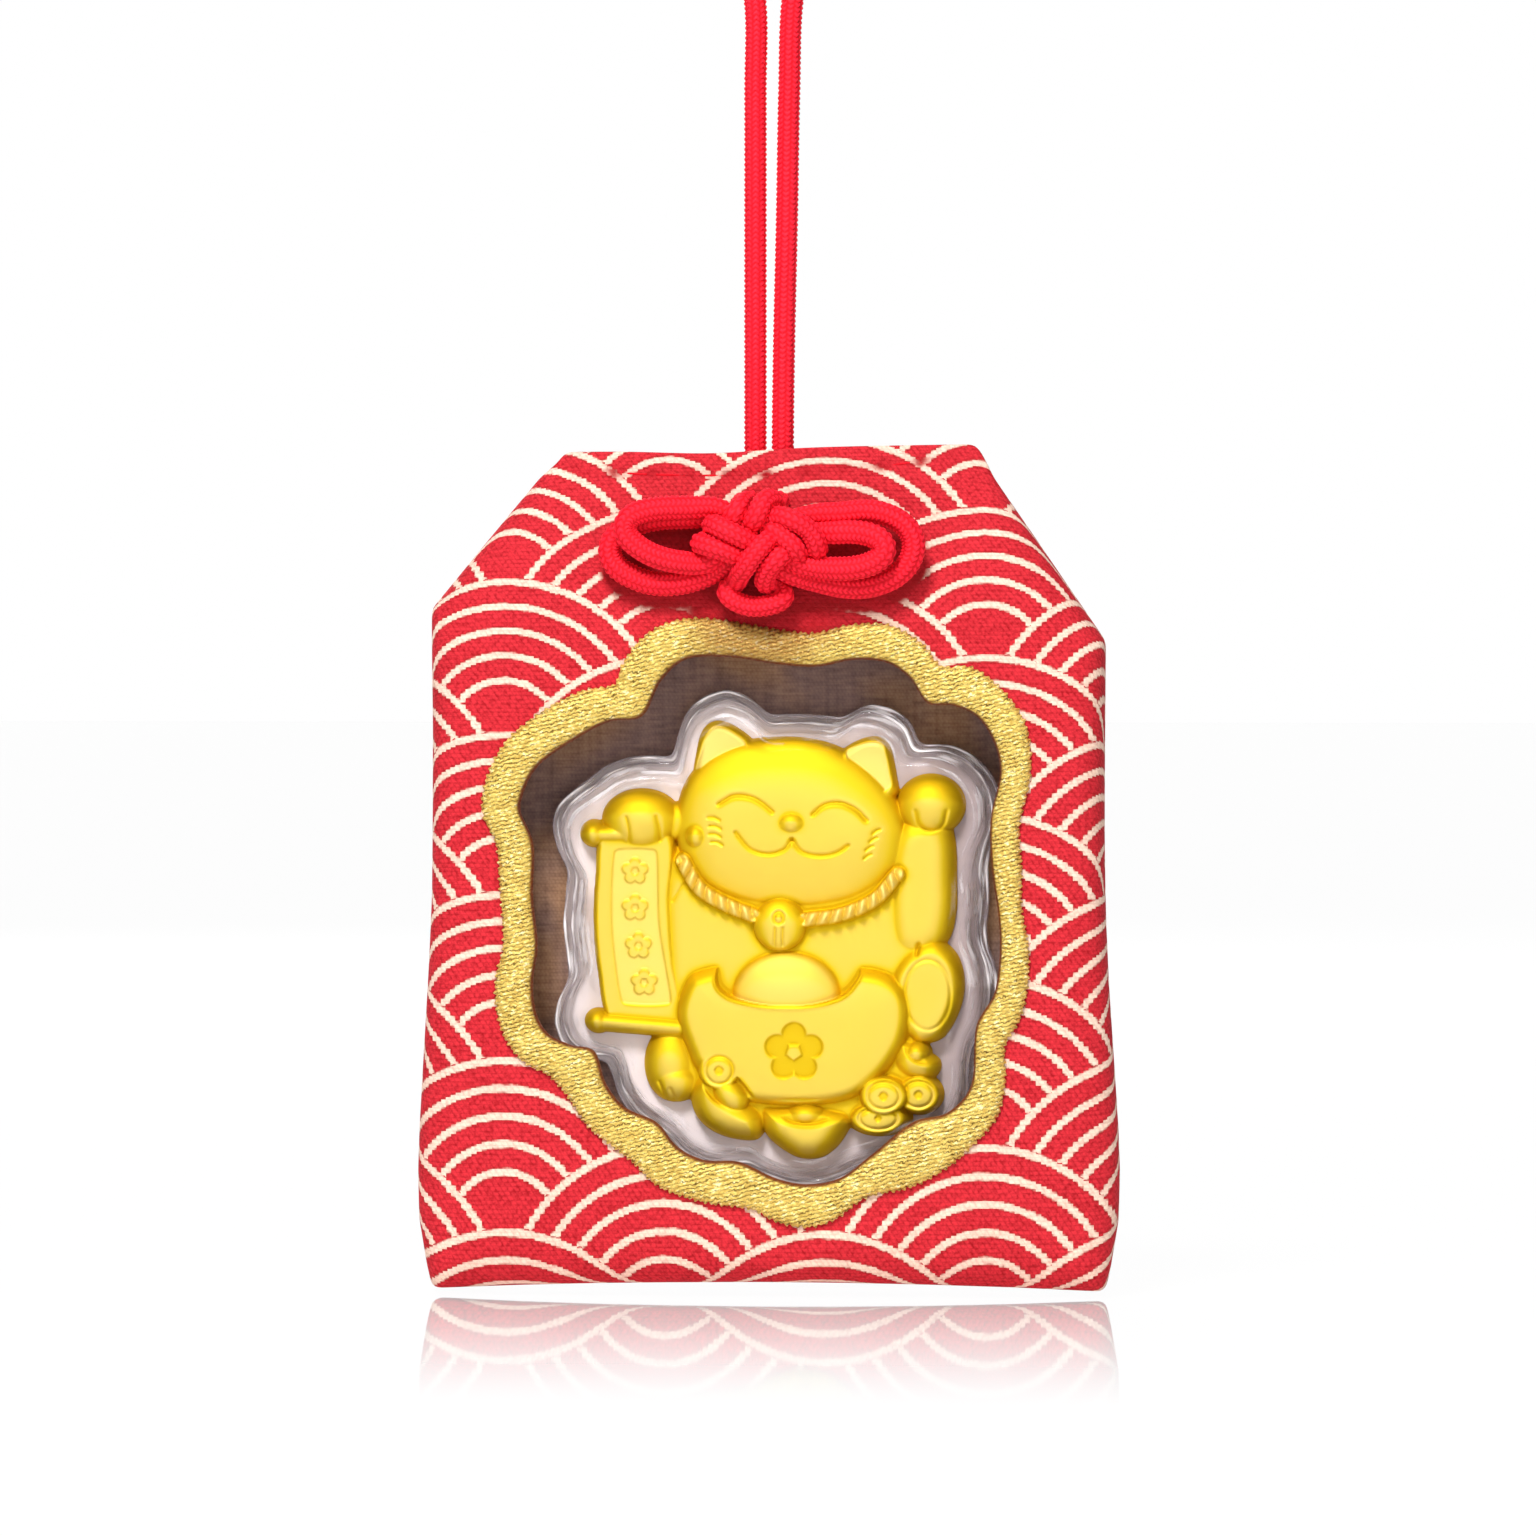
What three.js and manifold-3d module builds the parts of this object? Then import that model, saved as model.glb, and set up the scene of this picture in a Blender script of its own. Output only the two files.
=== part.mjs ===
// A cloth charm pouch on a braided cord, with a gold foil cat in a clear capsule behind its window.
// Millimetres, +Z up, front towards -Y. The origin is the hang point, inside the top of the cord loop.
import * as THREE from 'three';
import { mergeVertices } from 'three/addons/utils/BufferGeometryUtils.js';
import Module from 'manifold-3d';

const wasm = await Module();
wasm.setup();

// Pouch outline
const LOOP_RISE = 52.2; // hang point above the pouch's top edge
const POUCH_HEIGHT = 72.7;
const POUCH_HALF_WIDTH = 29.4;
const MOUTH_HALF_WIDTH = 17.9;
const LEFT_SHOULDER_DROP = 14;
const RIGHT_SHOULDER_DROP = 16.8;
const LOWER_BULGE = 1.3; // how far the sides swell near the bottom
const BULGE_LIFT = 8.5; // height of that swelling above the bottom edge
const CORNER_DIP = 0.7; // how far the bottom corners hang below the middle

// Layers, front to back
const CLOTH = 0.7;
const LINING = 0.4;
const CARD = 1.2;
const LAYER_GAP = 0.1; // between layers that are sewn or glued together
const FIT = 0.3; // running clearance round loose pieces
const SEAM_HALF_GAP = 0.15;
const PLATE_FRONT = 0.4; // depth of the capsule plate's front face behind the mouth's middle

// Edges and mouth
const SIDE_FULLNESS = 3.2; // how boxy the rolled side edges are
const MOUTH_FULLNESS = 1.25;
const MOUTH_RUN = 8; // how far below the top edge the open lips close up
const LIP_FULLNESS = 4; // how squarely the open lips end at the mouth's corners

// Window and border
const WINDOW_DROP = 41.56; // window centre below the top edge
const BORDER_WIDTH = 3.3;
const BORDER_RISE = 0.8;
const BORDER_ROUND = 0.6; // rounded shoulder of the stitched band
const BORDER_TO_ROLL = 0.4; // flat cloth left outside the border
const LINING_TUCK = 0.4; // lining edge hidden behind the border's inner edge
const POCKET_TUCK = 1.5; // pocket wall behind the border's inner edge
const SEAM_ALLOWANCE = 1;

// Capsule
const CAPSULE_MARGIN = 3; // capsule edge outside the cat's outline
const SHELL_WALL = 0.6;
const PLATE = 0.8;
const FLANGE_WIDTH = 1;
const FLANGE = 0.6;
const WALL_LEAN = 0.5;
const SHELL_ROUND = 0.6;

// Gold cat about the window centre
const CAT_RELIEF = 2.9; // highest point of the relief
const DOMES = [ // x, z, half width, half height, rise above the cat's back
  [2.4, 7.6, 9.6, 7.9, 2.5], // head
  [2.6, -3.1, 12.2, 9.6, 1.8], // body
  [-10.8, 9.4, 3.2, 2.4, 2.3], // left paw
  [14.7, 10.2, 2.7, 2.7, 2.3], // right paw
  [13.6, 3.1, 2.7, 6.6, 1.9], // right arm
  [13.8, -5.7, 3.3, 4.6, 2.2], // right foot
  [-8.5, -12.3, 2.2, 3.1, 1.8], // left foot
  [1.1, -0.1, 2.3, 2.3, CAT_RELIEF], // bell
  [1.8, -5.2, 4.6, 3.3, 2.7], // dome of the large ingot
  [2.4, -9.7, 10.2, 5.8, 2.8], // boat of the large ingot
  [-5.2, -5.6, 2.3, 1.9, 2.4], // its left horn
  [9.6, -5.6, 2.3, 1.9, 2.4], // its right horn
  [-3.7, -15.7, 3.2, 3, 2.2], // left ingot
  [3.5, -17.3, 3.9, 2.9, 2.2], // lower ingot
  [13.2, -12.3, 1.9, 2, 2], // right ingot
];
const COINS = [ // x, z, radius, rise
  [-4.2, -12.7, 1.5, 2.5],
  [10, -14.5, 2, 2.5],
  [9.4, -16.6, 1.7, 2.1],
  [13.4, -14.8, 1.7, 2],
];
const SCROLL_RODS = [ // the two ends of each rod, x and z
  [[-15.3, 8.5], [-6.6, 8]],
  [[-15.1, -8.3], [-7, -8.9]],
];
const ROD_RADIUS = 0.75;
const ROD_RISE = 2;
const LEFT_EAR = [[-6.3, 11], [-4.7, 17], [-3.7, 17.6], [-0.7, 14]];
const RIGHT_EAR = [[6, 13.8], [9.2, 16.3], [10, 16], [11, 9.6]];
const EAR_RISE = 1.7;
const SCROLL = [[-14.3, 8], [-8, 8], [-8, -8], [-14.1, -8.3], [-15, 0]];
const SCROLL_RISE = 1.5;
const ROPE_RADIUS = 0.55;
const ROPE_DEPTH = 2; // rope's middle above the cat's back
const ROPE = [[-6.8, 5.4], [-5, 2.8], [-2.2, 1], [1.1, 0], [4.6, 0.4], [8.6, 1.8], [11.2, 4.4]];

// Window outline about its centre, clockwise from the notch at the upper left
const WINDOW = [
  [-10.8, 18.3], [-9, 21.5], [-6.9, 23.3], [-3, 23.5], [1.2, 22.9], [4.6, 22.7], [8, 23.3],
  [10.8, 23], [12.7, 21.7], [14.3, 19.5], [16.5, 19.3], [18.6, 18.3], [20.1, 16], [20.6, 13.5],
  [19.8, 9.5], [19.9, 5.2], [20.5, 0.8], [20.6, -2.2], [20.1, -5.8], [18.6, -8.5], [18, -14],
  [16, -16.2], [13.1, -17], [9.4, -19.9], [6.5, -22], [3.6, -22.5], [1, -22], [-2.2, -20.6],
  [-5.4, -20.4], [-7.6, -19.3], [-9.4, -17.2], [-12.3, -15.8], [-13.9, -13.8], [-15, -10.9],
  [-17, -10.4], [-19, -9.4], [-20, -7.7], [-20.3, -4.9], [-19.9, -1.9], [-20.3, 2.5],
  [-20.3, 7.3], [-21.4, 10.1], [-21.3, 11.1], [-20, 13.8], [-16.3, 16.5], [-13.5, 17.9],
];

// Cord: the loop above the mouth, and the doubled knot on the front with its two tails
const CORD = 2;
const HINGE_RISE = 1.6; // swing axis above the top edge
const HOLE_DROP = 5; // cord hole below the top edge
const HOLE_HALF_LENGTH = 2.6;
const LOOP_ROUTE = [ // x and height above the top edge, from the left strand over to the right one
  [-1.15, 9], [-1.15, 20], [-1.15, 31], [-1.2, 39], [-2.2, 43], [-4.1, 46.4], [-4.7, 49.3], [-3, 52.2],
  [0, 53.2], [3, 52.2], [4.9, 49.3], [4.6, 46.4], [3, 43], [2.1, 39], [1.8, 31], [1.6, 20], [1.35, 9],
];
const LEFT_TAIL = [[-1.15, 0, -1], [-1.15, -0.2, -3.1], [-1.25, -1.8, -4.5]];
const RIGHT_TAIL = [[1.25, -1.8, -4.5], [1.25, -0.2, -3.1], [1.25, 0, -1]];
const KNOT_ROUTE = [ // x, depth, z below the top edge, one cord from the left tail to the right one
  [-1.3, -4.6, -5.2], [-1.5, -7.6, -5.4], [-1.9, -9.3, -5.9], [-2.3, -8.5, -6.6], [-2.4, -7.5, -7.6],
  [-3.3, -7.1, -9.1], [-5, -7.2, -10], [-7.3, -7.6, -9.9], [-9.3, -7.8, -9.4], [-11, -7.8, -8.4],
  [-12, -7.7, -7.3], [-11.7, -7.6, -6.1], [-10, -7.5, -5.4], [-7.3, -7.4, -5.2], [-4.4, -7.3, -5.4],
  [-1.8, -7, -6.35], [0.6, -8.4, -6.6], [2.3, -9.6, -6.6], [3.7, -9.3, -7.1], [4.3, -8, -8.2],
  [3.9, -6.3, -8.8], [2.4, -5.8, -8.6], [0, -5.7, -8], [-2.2, -5.7, -7.3], [-3.4, -6.3, -7],
  [-3.9, -7.9, -6.8], [-3.2, -9.3, -6.9], [-2, -9.6, -7.15], [-0.9, -8.9, -7.6], [0.9, -7.6, -8.8],
  [2.6, -7.3, -9.8], [4.6, -7.6, -10.3], [7, -8.2, -10.5], [9.2, -8.5, -10.2], [10.8, -8.6, -9.2],
  [10.6, -8.5, -8.1], [9, -8.3, -7.4], [7, -8, -7.3], [5, -7.6, -7.6], [3.6, -7.6, -8],
  [2.5, -8.4, -8.4], [1.6, -9.5, -9.3], [0.7, -9.1, -10.3], [0.4, -7.6, -11], [1, -6.4, -11.5],
  [2, -6.5, -12.1], [2.1, -7, -13], [0.9, -7.3, -13.6], [-0.9, -7.3, -13.8], [-2.6, -7.1, -13.2],
  [-3.5, -6.6, -12.1], [-2.7, -6.5, -11.2], [-2, -7.6, -10.7], [-1.5, -9.1, -10], [-0.5, -9.6, -8.8],
  [0.6, -8.6, -7.5], [1.9, -7.5, -6.7], [3.5, -7.3, -6.3], [5, -7.2, -6], [7, -7, -5.7],
  [9.2, -6.9, -5.5], [11.5, -6.8, -6.1], [13, -6.8, -7.5], [13, -6.8, -9.5], [11.5, -6.7, -11.2],
  [8.8, -6.6, -12.1], [6.1, -6.6, -11.9], [4, -6.7, -11.3], [2.2, -7, -10.5], [0.3, -7.2, -9.8],
  [-1.3, -8.2, -9.3], [-3, -9.5, -8.85], [-4.3, -9.2, -8.6], [-4.95, -7.7, -8.6], [-4.3, -6.2, -8.8],
  [-2.2, -5.8, -9.5], [0.7, -5.9, -10.1], [2.7, -6, -9.8], [3.2, -7.2, -9], [3, -8.7, -8.2],
  [2.1, -9.4, -7.6], [1.2, -9, -7.2], [0.2, -8.2, -6.9], [-1.1, -7, -6.5], [-3.5, -6.4, -6.1],
  [-6.6, -5.9, -6], [-9.6, -5.8, -6.2], [-12, -5.8, -7], [-13.4, -5.9, -8.4], [-13.1, -6, -10],
  [-11.6, -6.1, -11.1], [-9.4, -6.2, -11.8], [-7, -6.3, -11.7], [-4.9, -6.5, -11], [-3.3, -6.9, -10.2],
  [-2.4, -7.3, -8.9], [-1.5, -7.4, -7.6], [-0.8, -8.7, -6.7], [-0.1, -9.4, -6], [0.7, -8, -5.5],
  [1.1, -5, -5.2],
];

// Facets
const RAY_STEP = 5; // degrees between the rays that the lofted pieces follow
const ROLL_STEPS = [0, 0.03, 0.12, 0.3, 0.6, 1]; // stations across a rolled edge
const RAY_CLEARANCE = 1 / 3; // share of a step that is kept free beside a corner's ray
const DOME_FACETS = 18;
const SMALL_DOME_FACETS = 12;
const SMALL_DOME = 4; // widest half width of a small dome
const COIN_FACETS = 8;
const SLOT_FACETS = 4;
const CORD_FACETS = 8;
const KNOT_FACETS = 6;
const KNOT_STEP = 1.9; // length of one step along the knot's cord
const LOOP_STEP = 2.85;
const KNOT_STRETCHES = 9; // pieces that the knot is united from
const STRETCH_LAP = 0.3; // how far each piece runs into the next
const ROPE_STEPS = 14;
const SIDE_SAMPLES = 12;
const BOTTOM_SAMPLES = 8;
const WINDOW_SAMPLES = 360;
const DOME_SAMPLES = 36;
const CORNER_SAMPLES = 8;
const PARALLEL = 1e-9;
const SLACK = 1e-6;
const WELD = 1e-4;

// Depths of the layers, worked out from the capsule plate both ways
const PLATE_BACK = PLATE_FRONT + PLATE;
const CAT_BACK = PLATE_FRONT - LAYER_GAP;
const SHELL_INNER = CAT_BACK - CAT_RELIEF - FIT;
const SHELL_FRONT = SHELL_INNER - SHELL_WALL;
const FLANGE_BACK = PLATE_FRONT - LAYER_GAP;
const FRONT_LINING_BACK = SHELL_FRONT - FIT;
const FRONT_LINING_FRONT = FRONT_LINING_BACK - LINING;
const FRONT_DEPTH = -(FRONT_LINING_FRONT - LAYER_GAP - CLOTH);
const BACK_LINING_FRONT = PLATE_BACK + FIT;
const CARD_FRONT = BACK_LINING_FRONT + LINING + LAYER_GAP;
const BACK_DEPTH = CARD_FRONT + CARD + FIT + CLOTH;
const LIP_DEPTH = CORD / 2 + FIT + CLOTH; // outer face of an open lip from the mouth's middle

const CENTRE = new THREE.Vector2(0, -WINDOW_DROP);

// Outlines are lists of points about the window centre
function about(points) {
  return points.map(([x, z]) => new THREE.Vector2(x, z));
}

function pouchOutline() {
  const shoulders = [LEFT_SHOULDER_DROP, RIGHT_SHOULDER_DROP];
  const [left, right] = [-1, 1].map((side, i) => ({
    mouth: [side * MOUTH_HALF_WIDTH, 0],
    shoulder: [side * POUCH_HALF_WIDTH, -shoulders[i]],
    bulge: [side * (POUCH_HALF_WIDTH + LOWER_BULGE), -POUCH_HEIGHT + BULGE_LIFT],
    foot: [side * POUCH_HALF_WIDTH, -POUCH_HEIGHT - CORNER_DIP],
  }));
  const side = (s) => {
    const middle = [s.shoulder[0], (s.shoulder[1] + s.bulge[1]) / 2];
    const curve = new THREE.SplineCurve(about([s.shoulder, middle, s.bulge, s.foot]));
    return curve.getPoints(SIDE_SAMPLES);
  };
  const bottom = new THREE.QuadraticBezierCurve(
    ...about([right.foot, [0, -POUCH_HEIGHT + CORNER_DIP], left.foot]));
  const points = [...about([left.mouth, right.mouth]), ...side(right), ...bottom.getPoints(BOTTOM_SAMPLES),
    ...side(left).reverse()];
  return points.map((p) => p.clone().sub(CENTRE));
}

function smoothOutline(points, samples) {
  const knots = points.map(([x, z]) => new THREE.Vector3(x, z, 0));
  const curve = new THREE.CatmullRomCurve3(knots, true, 'centripetal');
  return curve.getPoints(samples).map((p) => new THREE.Vector2(p.x, p.y));
}

// Radius at which a ray from the centre leaves an outline
function reach(outline, angle) {
  const ray = new THREE.Vector2(Math.cos(angle), Math.sin(angle));
  let far = 0;
  outline.forEach((p, i) => {
    const step = outline[(i + 1) % outline.length].clone().sub(p);
    const det = ray.cross(step);
    if (Math.abs(det) < PARALLEL) return;
    const along = p.cross(step) / det;
    const share = p.cross(ray) / det;
    if (share >= -SLACK && share <= 1 + SLACK) far = Math.max(far, along);
  });
  return far;
}

// Radius at which a ray leaves the outline grown by a margin
function grownReach(outline, margin, angle) {
  const ray = new THREE.Vector2(Math.cos(angle), Math.sin(angle));
  const radii = outline.map((p) => {
    const miss = ray.cross(p);
    return Math.abs(miss) < margin ? p.dot(ray) + Math.sqrt(margin ** 2 - miss ** 2) : 0;
  });
  return Math.max(...radii);
}

// Outline of the cat as many points, for the capsule to follow
function catOutline() {
  const ring = (x, z, wide, tall) => Array.from({ length: DOME_SAMPLES }, (_, i) => {
    const turn = (2 * Math.PI * i) / DOME_SAMPLES;
    return new THREE.Vector2(x + wide * Math.cos(turn), z + tall * Math.sin(turn));
  });
  const domes = DOMES.flatMap(([x, z, wide, tall]) => ring(x, z, wide, tall));
  const coins = COINS.flatMap(([x, z, radius]) => ring(x, z, radius, radius));
  const rods = SCROLL_RODS.flatMap(([end]) => ring(...end, ROD_RADIUS, ROD_RADIUS));
  const sheets = [LEFT_EAR, RIGHT_EAR, SCROLL].map(about).flatMap((corners) => corners.flatMap((p, i) => {
    const next = corners[(i + 1) % corners.length];
    return Array.from({ length: CORNER_SAMPLES }, (_, k) => p.clone().lerp(next, k / CORNER_SAMPLES));
  }));
  return [...domes, ...coins, ...rods, ...sheets];
}

const POUCH_OUTLINE = pouchOutline();
const WINDOW_OUTLINE = smoothOutline(WINDOW, WINDOW_SAMPLES);
const CAT_OUTLINE = catOutline();

// The rays that all lofted pieces share: even steps, with the pouch's corners added
function makeRays() {
  const corners = [[-MOUTH_HALF_WIDTH, 0], [MOUTH_HALF_WIDTH, 0], [POUCH_HALF_WIDTH, -RIGHT_SHOULDER_DROP],
    [POUCH_HALF_WIDTH, -POUCH_HEIGHT - CORNER_DIP], [-POUCH_HALF_WIDTH, -POUCH_HEIGHT - CORNER_DIP],
    [-POUCH_HALF_WIDTH, -LEFT_SHOULDER_DROP]];
  const fixed = corners.map(([x, z]) => {
    const angle = Math.atan2(z - CENTRE.y, x - CENTRE.x);
    return (angle + 2 * Math.PI) % (2 * Math.PI);
  });
  const step = THREE.MathUtils.degToRad(RAY_STEP);
  const even = Array.from({ length: 360 / RAY_STEP }, (_, i) => i * step);
  const kept = even.filter((a) => fixed.every((f) => Math.abs(f - a) > step * RAY_CLEARANCE));
  return [...fixed, ...kept].sort((a, b) => a - b).map((angle) => {
    const edge = reach(POUCH_OUTLINE, angle);
    const window = reach(WINDOW_OUTLINE, angle);
    const border = grownReach(WINDOW_OUTLINE, BORDER_WIDTH, angle);
    const capsule = grownReach(CAT_OUTLINE, CAPSULE_MARGIN, angle);
    const pocket = Math.max(window + POCKET_TUCK, capsule + FIT);
    const drop = -(CENTRE.y + edge * Math.sin(angle));
    const across = Math.min(1, Math.abs(edge * Math.cos(angle)) / MOUTH_HALF_WIDTH);
    const top = THREE.MathUtils.smoothstep(1 - drop / MOUTH_RUN, 0, 1);
    return {
      angle, edge, window, border, capsule, pocket,
      flat: border + BORDER_TO_ROLL,
      fullness: THREE.MathUtils.lerp(SIDE_FULLNESS, MOUTH_FULLNESS, top),
      lip: THREE.MathUtils.lerp(SEAM_HALF_GAP, LIP_DEPTH, top * (1 - across ** LIP_FULLNESS)),
    };
  });
}
const RAYS = makeRays();

// Turns the triangles of a closed body to face outwards
function faceOut(points, triangles) {
  let volume = 0;
  const corner = (i) => new THREE.Vector3(...points[i]);
  triangles.forEach(([a, b, c]) => { volume += corner(a).dot(corner(b).cross(corner(c))); });
  const turned = volume < 0 ? triangles.map(([a, b, c]) => [a, c, b]) : triangles;
  const geometry = new THREE.BufferGeometry();
  geometry.setAttribute('position', new THREE.Float32BufferAttribute(points.flat(), 3));
  geometry.setIndex(turned.flat());
  geometry.computeVertexNormals();
  return geometry;
}

// A body lofted round the centre. section(ray) lists [radius, depth] corners: a closed loop for a band,
// or a run from the front axis to the back axis for a disc.
function loft(section, isDisc) {
  const points = [];
  const triangles = [];
  const loops = RAYS.map((ray) => section(ray));
  const count = loops[0].length;
  loops.forEach((loop, i) => loop.forEach(([radius, depth]) => points.push([
    CENTRE.x + radius * Math.cos(RAYS[i].angle), depth, CENTRE.y + radius * Math.sin(RAYS[i].angle)])));
  const spans = isDisc ? count - 1 : count;
  loops.forEach((_, i) => {
    const near = i * count;
    const next = ((i + 1) % loops.length) * count;
    for (let k = 0; k < spans; k += 1) {
      const l = (k + 1) % count;
      triangles.push([near + k, near + l, next + l], [near + k, next + l, next + k]);
    }
  });
  if (isDisc) {
    [0, count - 1].forEach((k) => {
      const axis = points.push([CENTRE.x, loops[0][k][1], CENTRE.y]) - 1;
      loops.forEach((_, i) => {
        const a = i * count + k;
        const b = ((i + 1) % loops.length) * count + k;
        triangles.push(k ? [a, axis, b] : [a, b, axis]);
      });
    });
  }
  return faceOut(points, triangles);
}
const band = (section) => loft(section, false);
const disc = (section) => loft(section, true);

// Outer and inner face of a pouch panel along one ray, from the edge in to the flat
function panelFaces(ray, depth) {
  const outer = ROLL_STEPS.map((t) => {
    const rise = (1 - (1 - t) ** ray.fullness) ** (1 / ray.fullness);
    return [THREE.MathUtils.lerp(ray.edge, ray.flat, t), THREE.MathUtils.lerp(ray.lip, depth, rise)];
  });
  const inner = outer.map(([radius, d], i) => {
    const a = outer[Math.max(0, i - 1)];
    const b = i === outer.length - 1 ? [radius - 1, d] : outer[i + 1];
    const back = i === outer.length - 1 ? [radius, d] : a;
    const run = Math.hypot(b[0] - back[0], b[1] - back[1]);
    const lean = (b[1] - back[1]) / run;
    const innerDepth = d - (CLOTH * (back[0] - b[0])) / run;
    return [radius - CLOTH * lean, Math.max(innerDepth, SEAM_HALF_GAP)];
  });
  return { outer, inner };
}

function toSolid(geometry) {
  const plain = geometry.clone();
  ['normal', 'uv'].forEach((name) => plain.deleteAttribute(name));
  const merged = mergeVertices(plain, WELD);
  return new wasm.Manifold(new wasm.Mesh({
    numProp: 3,
    vertProperties: new Float32Array(merged.attributes.position.array),
    triVerts: new Uint32Array(merged.index.array),
  }));
}

function fromSolid(solid) {
  const mesh = solid.getMesh();
  const geometry = new THREE.BufferGeometry();
  geometry.setAttribute('position', new THREE.Float32BufferAttribute(mesh.vertProperties, 3));
  geometry.setIndex(Array.from(mesh.triVerts));
  geometry.computeVertexNormals();
  return geometry;
}

const unite = (solids) => solids.reduce((sum, s) => sum.add(s));

// The outer skin alone, without the small hollows that touching strands close in
function outerSkin(geometry) {
  const index = geometry.index.array;
  const root = Array.from({ length: geometry.attributes.position.count }, (_, i) => i);
  const find = (i) => {
    let top = i;
    while (root[top] !== top) top = root[top];
    root[i] = top;
    return top;
  };
  for (let i = 0; i < index.length; i += 3) {
    root[find(index[i + 1])] = find(index[i]);
    root[find(index[i + 2])] = find(index[i]);
  }
  const sizes = new Map();
  index.forEach((v) => sizes.set(find(v), (sizes.get(find(v)) || 0) + 1));
  const skin = [...sizes.entries()].sort((a, b) => b[1] - a[1])[0][0];
  geometry.setIndex(Array.from(index).filter((v) => find(v) === skin));
  return geometry;
}

// An outline in x and z, extruded towards the front from depth 0
function slab(shape, depth, curveSegments) {
  const geometry = new THREE.ExtrudeGeometry(shape, { depth, curveSegments, bevelEnabled: false });
  return geometry.rotateX(Math.PI / 2);
}

// A round cord along a curve
function tube(curve, radius, facets, steps) {
  const section = new THREE.Shape(Array.from({ length: facets }, (_, i) => {
    const turn = (2 * Math.PI * i) / facets;
    return new THREE.Vector2(radius * Math.cos(turn), radius * Math.sin(turn));
  }));
  return new THREE.ExtrudeGeometry(section, { extrudePath: curve, steps, bevelEnabled: false });
}

function ball(radius, at) {
  return new THREE.SphereGeometry(radius, CORD_FACETS, CORD_FACETS / 2).translate(...at);
}

function frontPanel() {
  const cloth = band((ray) => {
    const { outer, inner } = panelFaces(ray, FRONT_DEPTH);
    const edge = [[ray.window, FRONT_DEPTH], [ray.window, FRONT_DEPTH - CLOTH]];
    return [...outer, ...edge, ...inner.reverse()].map(([r, d]) => [r, -d]);
  });
  const slot = new THREE.Shape();
  const radius = CORD / 2 + FIT;
  const run = HOLE_HALF_LENGTH - radius;
  slot.absarc(run, -HOLE_DROP, radius, -Math.PI / 2, Math.PI / 2, false);
  slot.absarc(-run, -HOLE_DROP, radius, Math.PI / 2, (3 * Math.PI) / 2, false);
  return fromSolid(toSolid(cloth).subtract(toSolid(slab(slot, FRONT_DEPTH + CLOTH, SLOT_FACETS))));
}

function backPanel() {
  return disc((ray) => {
    const { outer, inner } = panelFaces(ray, BACK_DEPTH);
    return [...inner.reverse(), ...outer];
  });
}

function windowBorder() {
  const back = -FRONT_DEPTH - LAYER_GAP;
  return band((ray) => [
    [ray.window, back], [ray.window, back - BORDER_RISE + BORDER_ROUND / 2],
    [ray.window + BORDER_ROUND, back - BORDER_RISE], [ray.border - BORDER_ROUND, back - BORDER_RISE],
    [ray.border, back - BORDER_RISE + BORDER_ROUND / 2], [ray.border, back],
  ]);
}

const liningEdge = (ray) => Math.min(ray.pocket + LINING + SEAM_ALLOWANCE, ray.flat - CLOTH);

function frontLining() {
  return band((ray) => [
    [ray.window + LINING_TUCK, FRONT_LINING_BACK], [ray.window + LINING_TUCK, FRONT_LINING_FRONT],
    [liningEdge(ray), FRONT_LINING_FRONT], [liningEdge(ray), FRONT_LINING_BACK],
  ]);
}

function pocketGusset() {
  const front = FRONT_LINING_BACK + LAYER_GAP;
  const back = BACK_LINING_FRONT - LAYER_GAP;
  return band((ray) => [
    [ray.pocket, back], [ray.pocket, front], [ray.pocket + LINING, front], [ray.pocket + LINING, back],
  ]);
}

function backLining() {
  const back = BACK_LINING_FRONT + LINING;
  return disc((ray) => [[liningEdge(ray), BACK_LINING_FRONT], [liningEdge(ray), back]]);
}

function stiffenerCard() {
  return disc((ray) => [[ray.flat - CLOTH, CARD_FRONT], [ray.flat - CLOTH, CARD_FRONT + CARD]]);
}

function capsuleFrontShell() {
  return disc((ray) => {
    const foot = ray.capsule - FLANGE_WIDTH;
    const top = foot - WALL_LEAN;
    const flangeFront = FLANGE_BACK - FLANGE;
    return [
      [top - SHELL_ROUND, SHELL_FRONT], [top, SHELL_FRONT + SHELL_ROUND], [foot, flangeFront],
      [ray.capsule, flangeFront], [ray.capsule, FLANGE_BACK], [foot - SHELL_WALL, FLANGE_BACK],
      [top - SHELL_WALL, SHELL_INNER + SHELL_ROUND], [top - SHELL_ROUND - SHELL_WALL / 2, SHELL_INNER],
    ];
  });
}

function capsuleRearPlate() {
  return disc((ray) => [[ray.capsule, PLATE_FRONT], [ray.capsule, PLATE_BACK]]);
}

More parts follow.
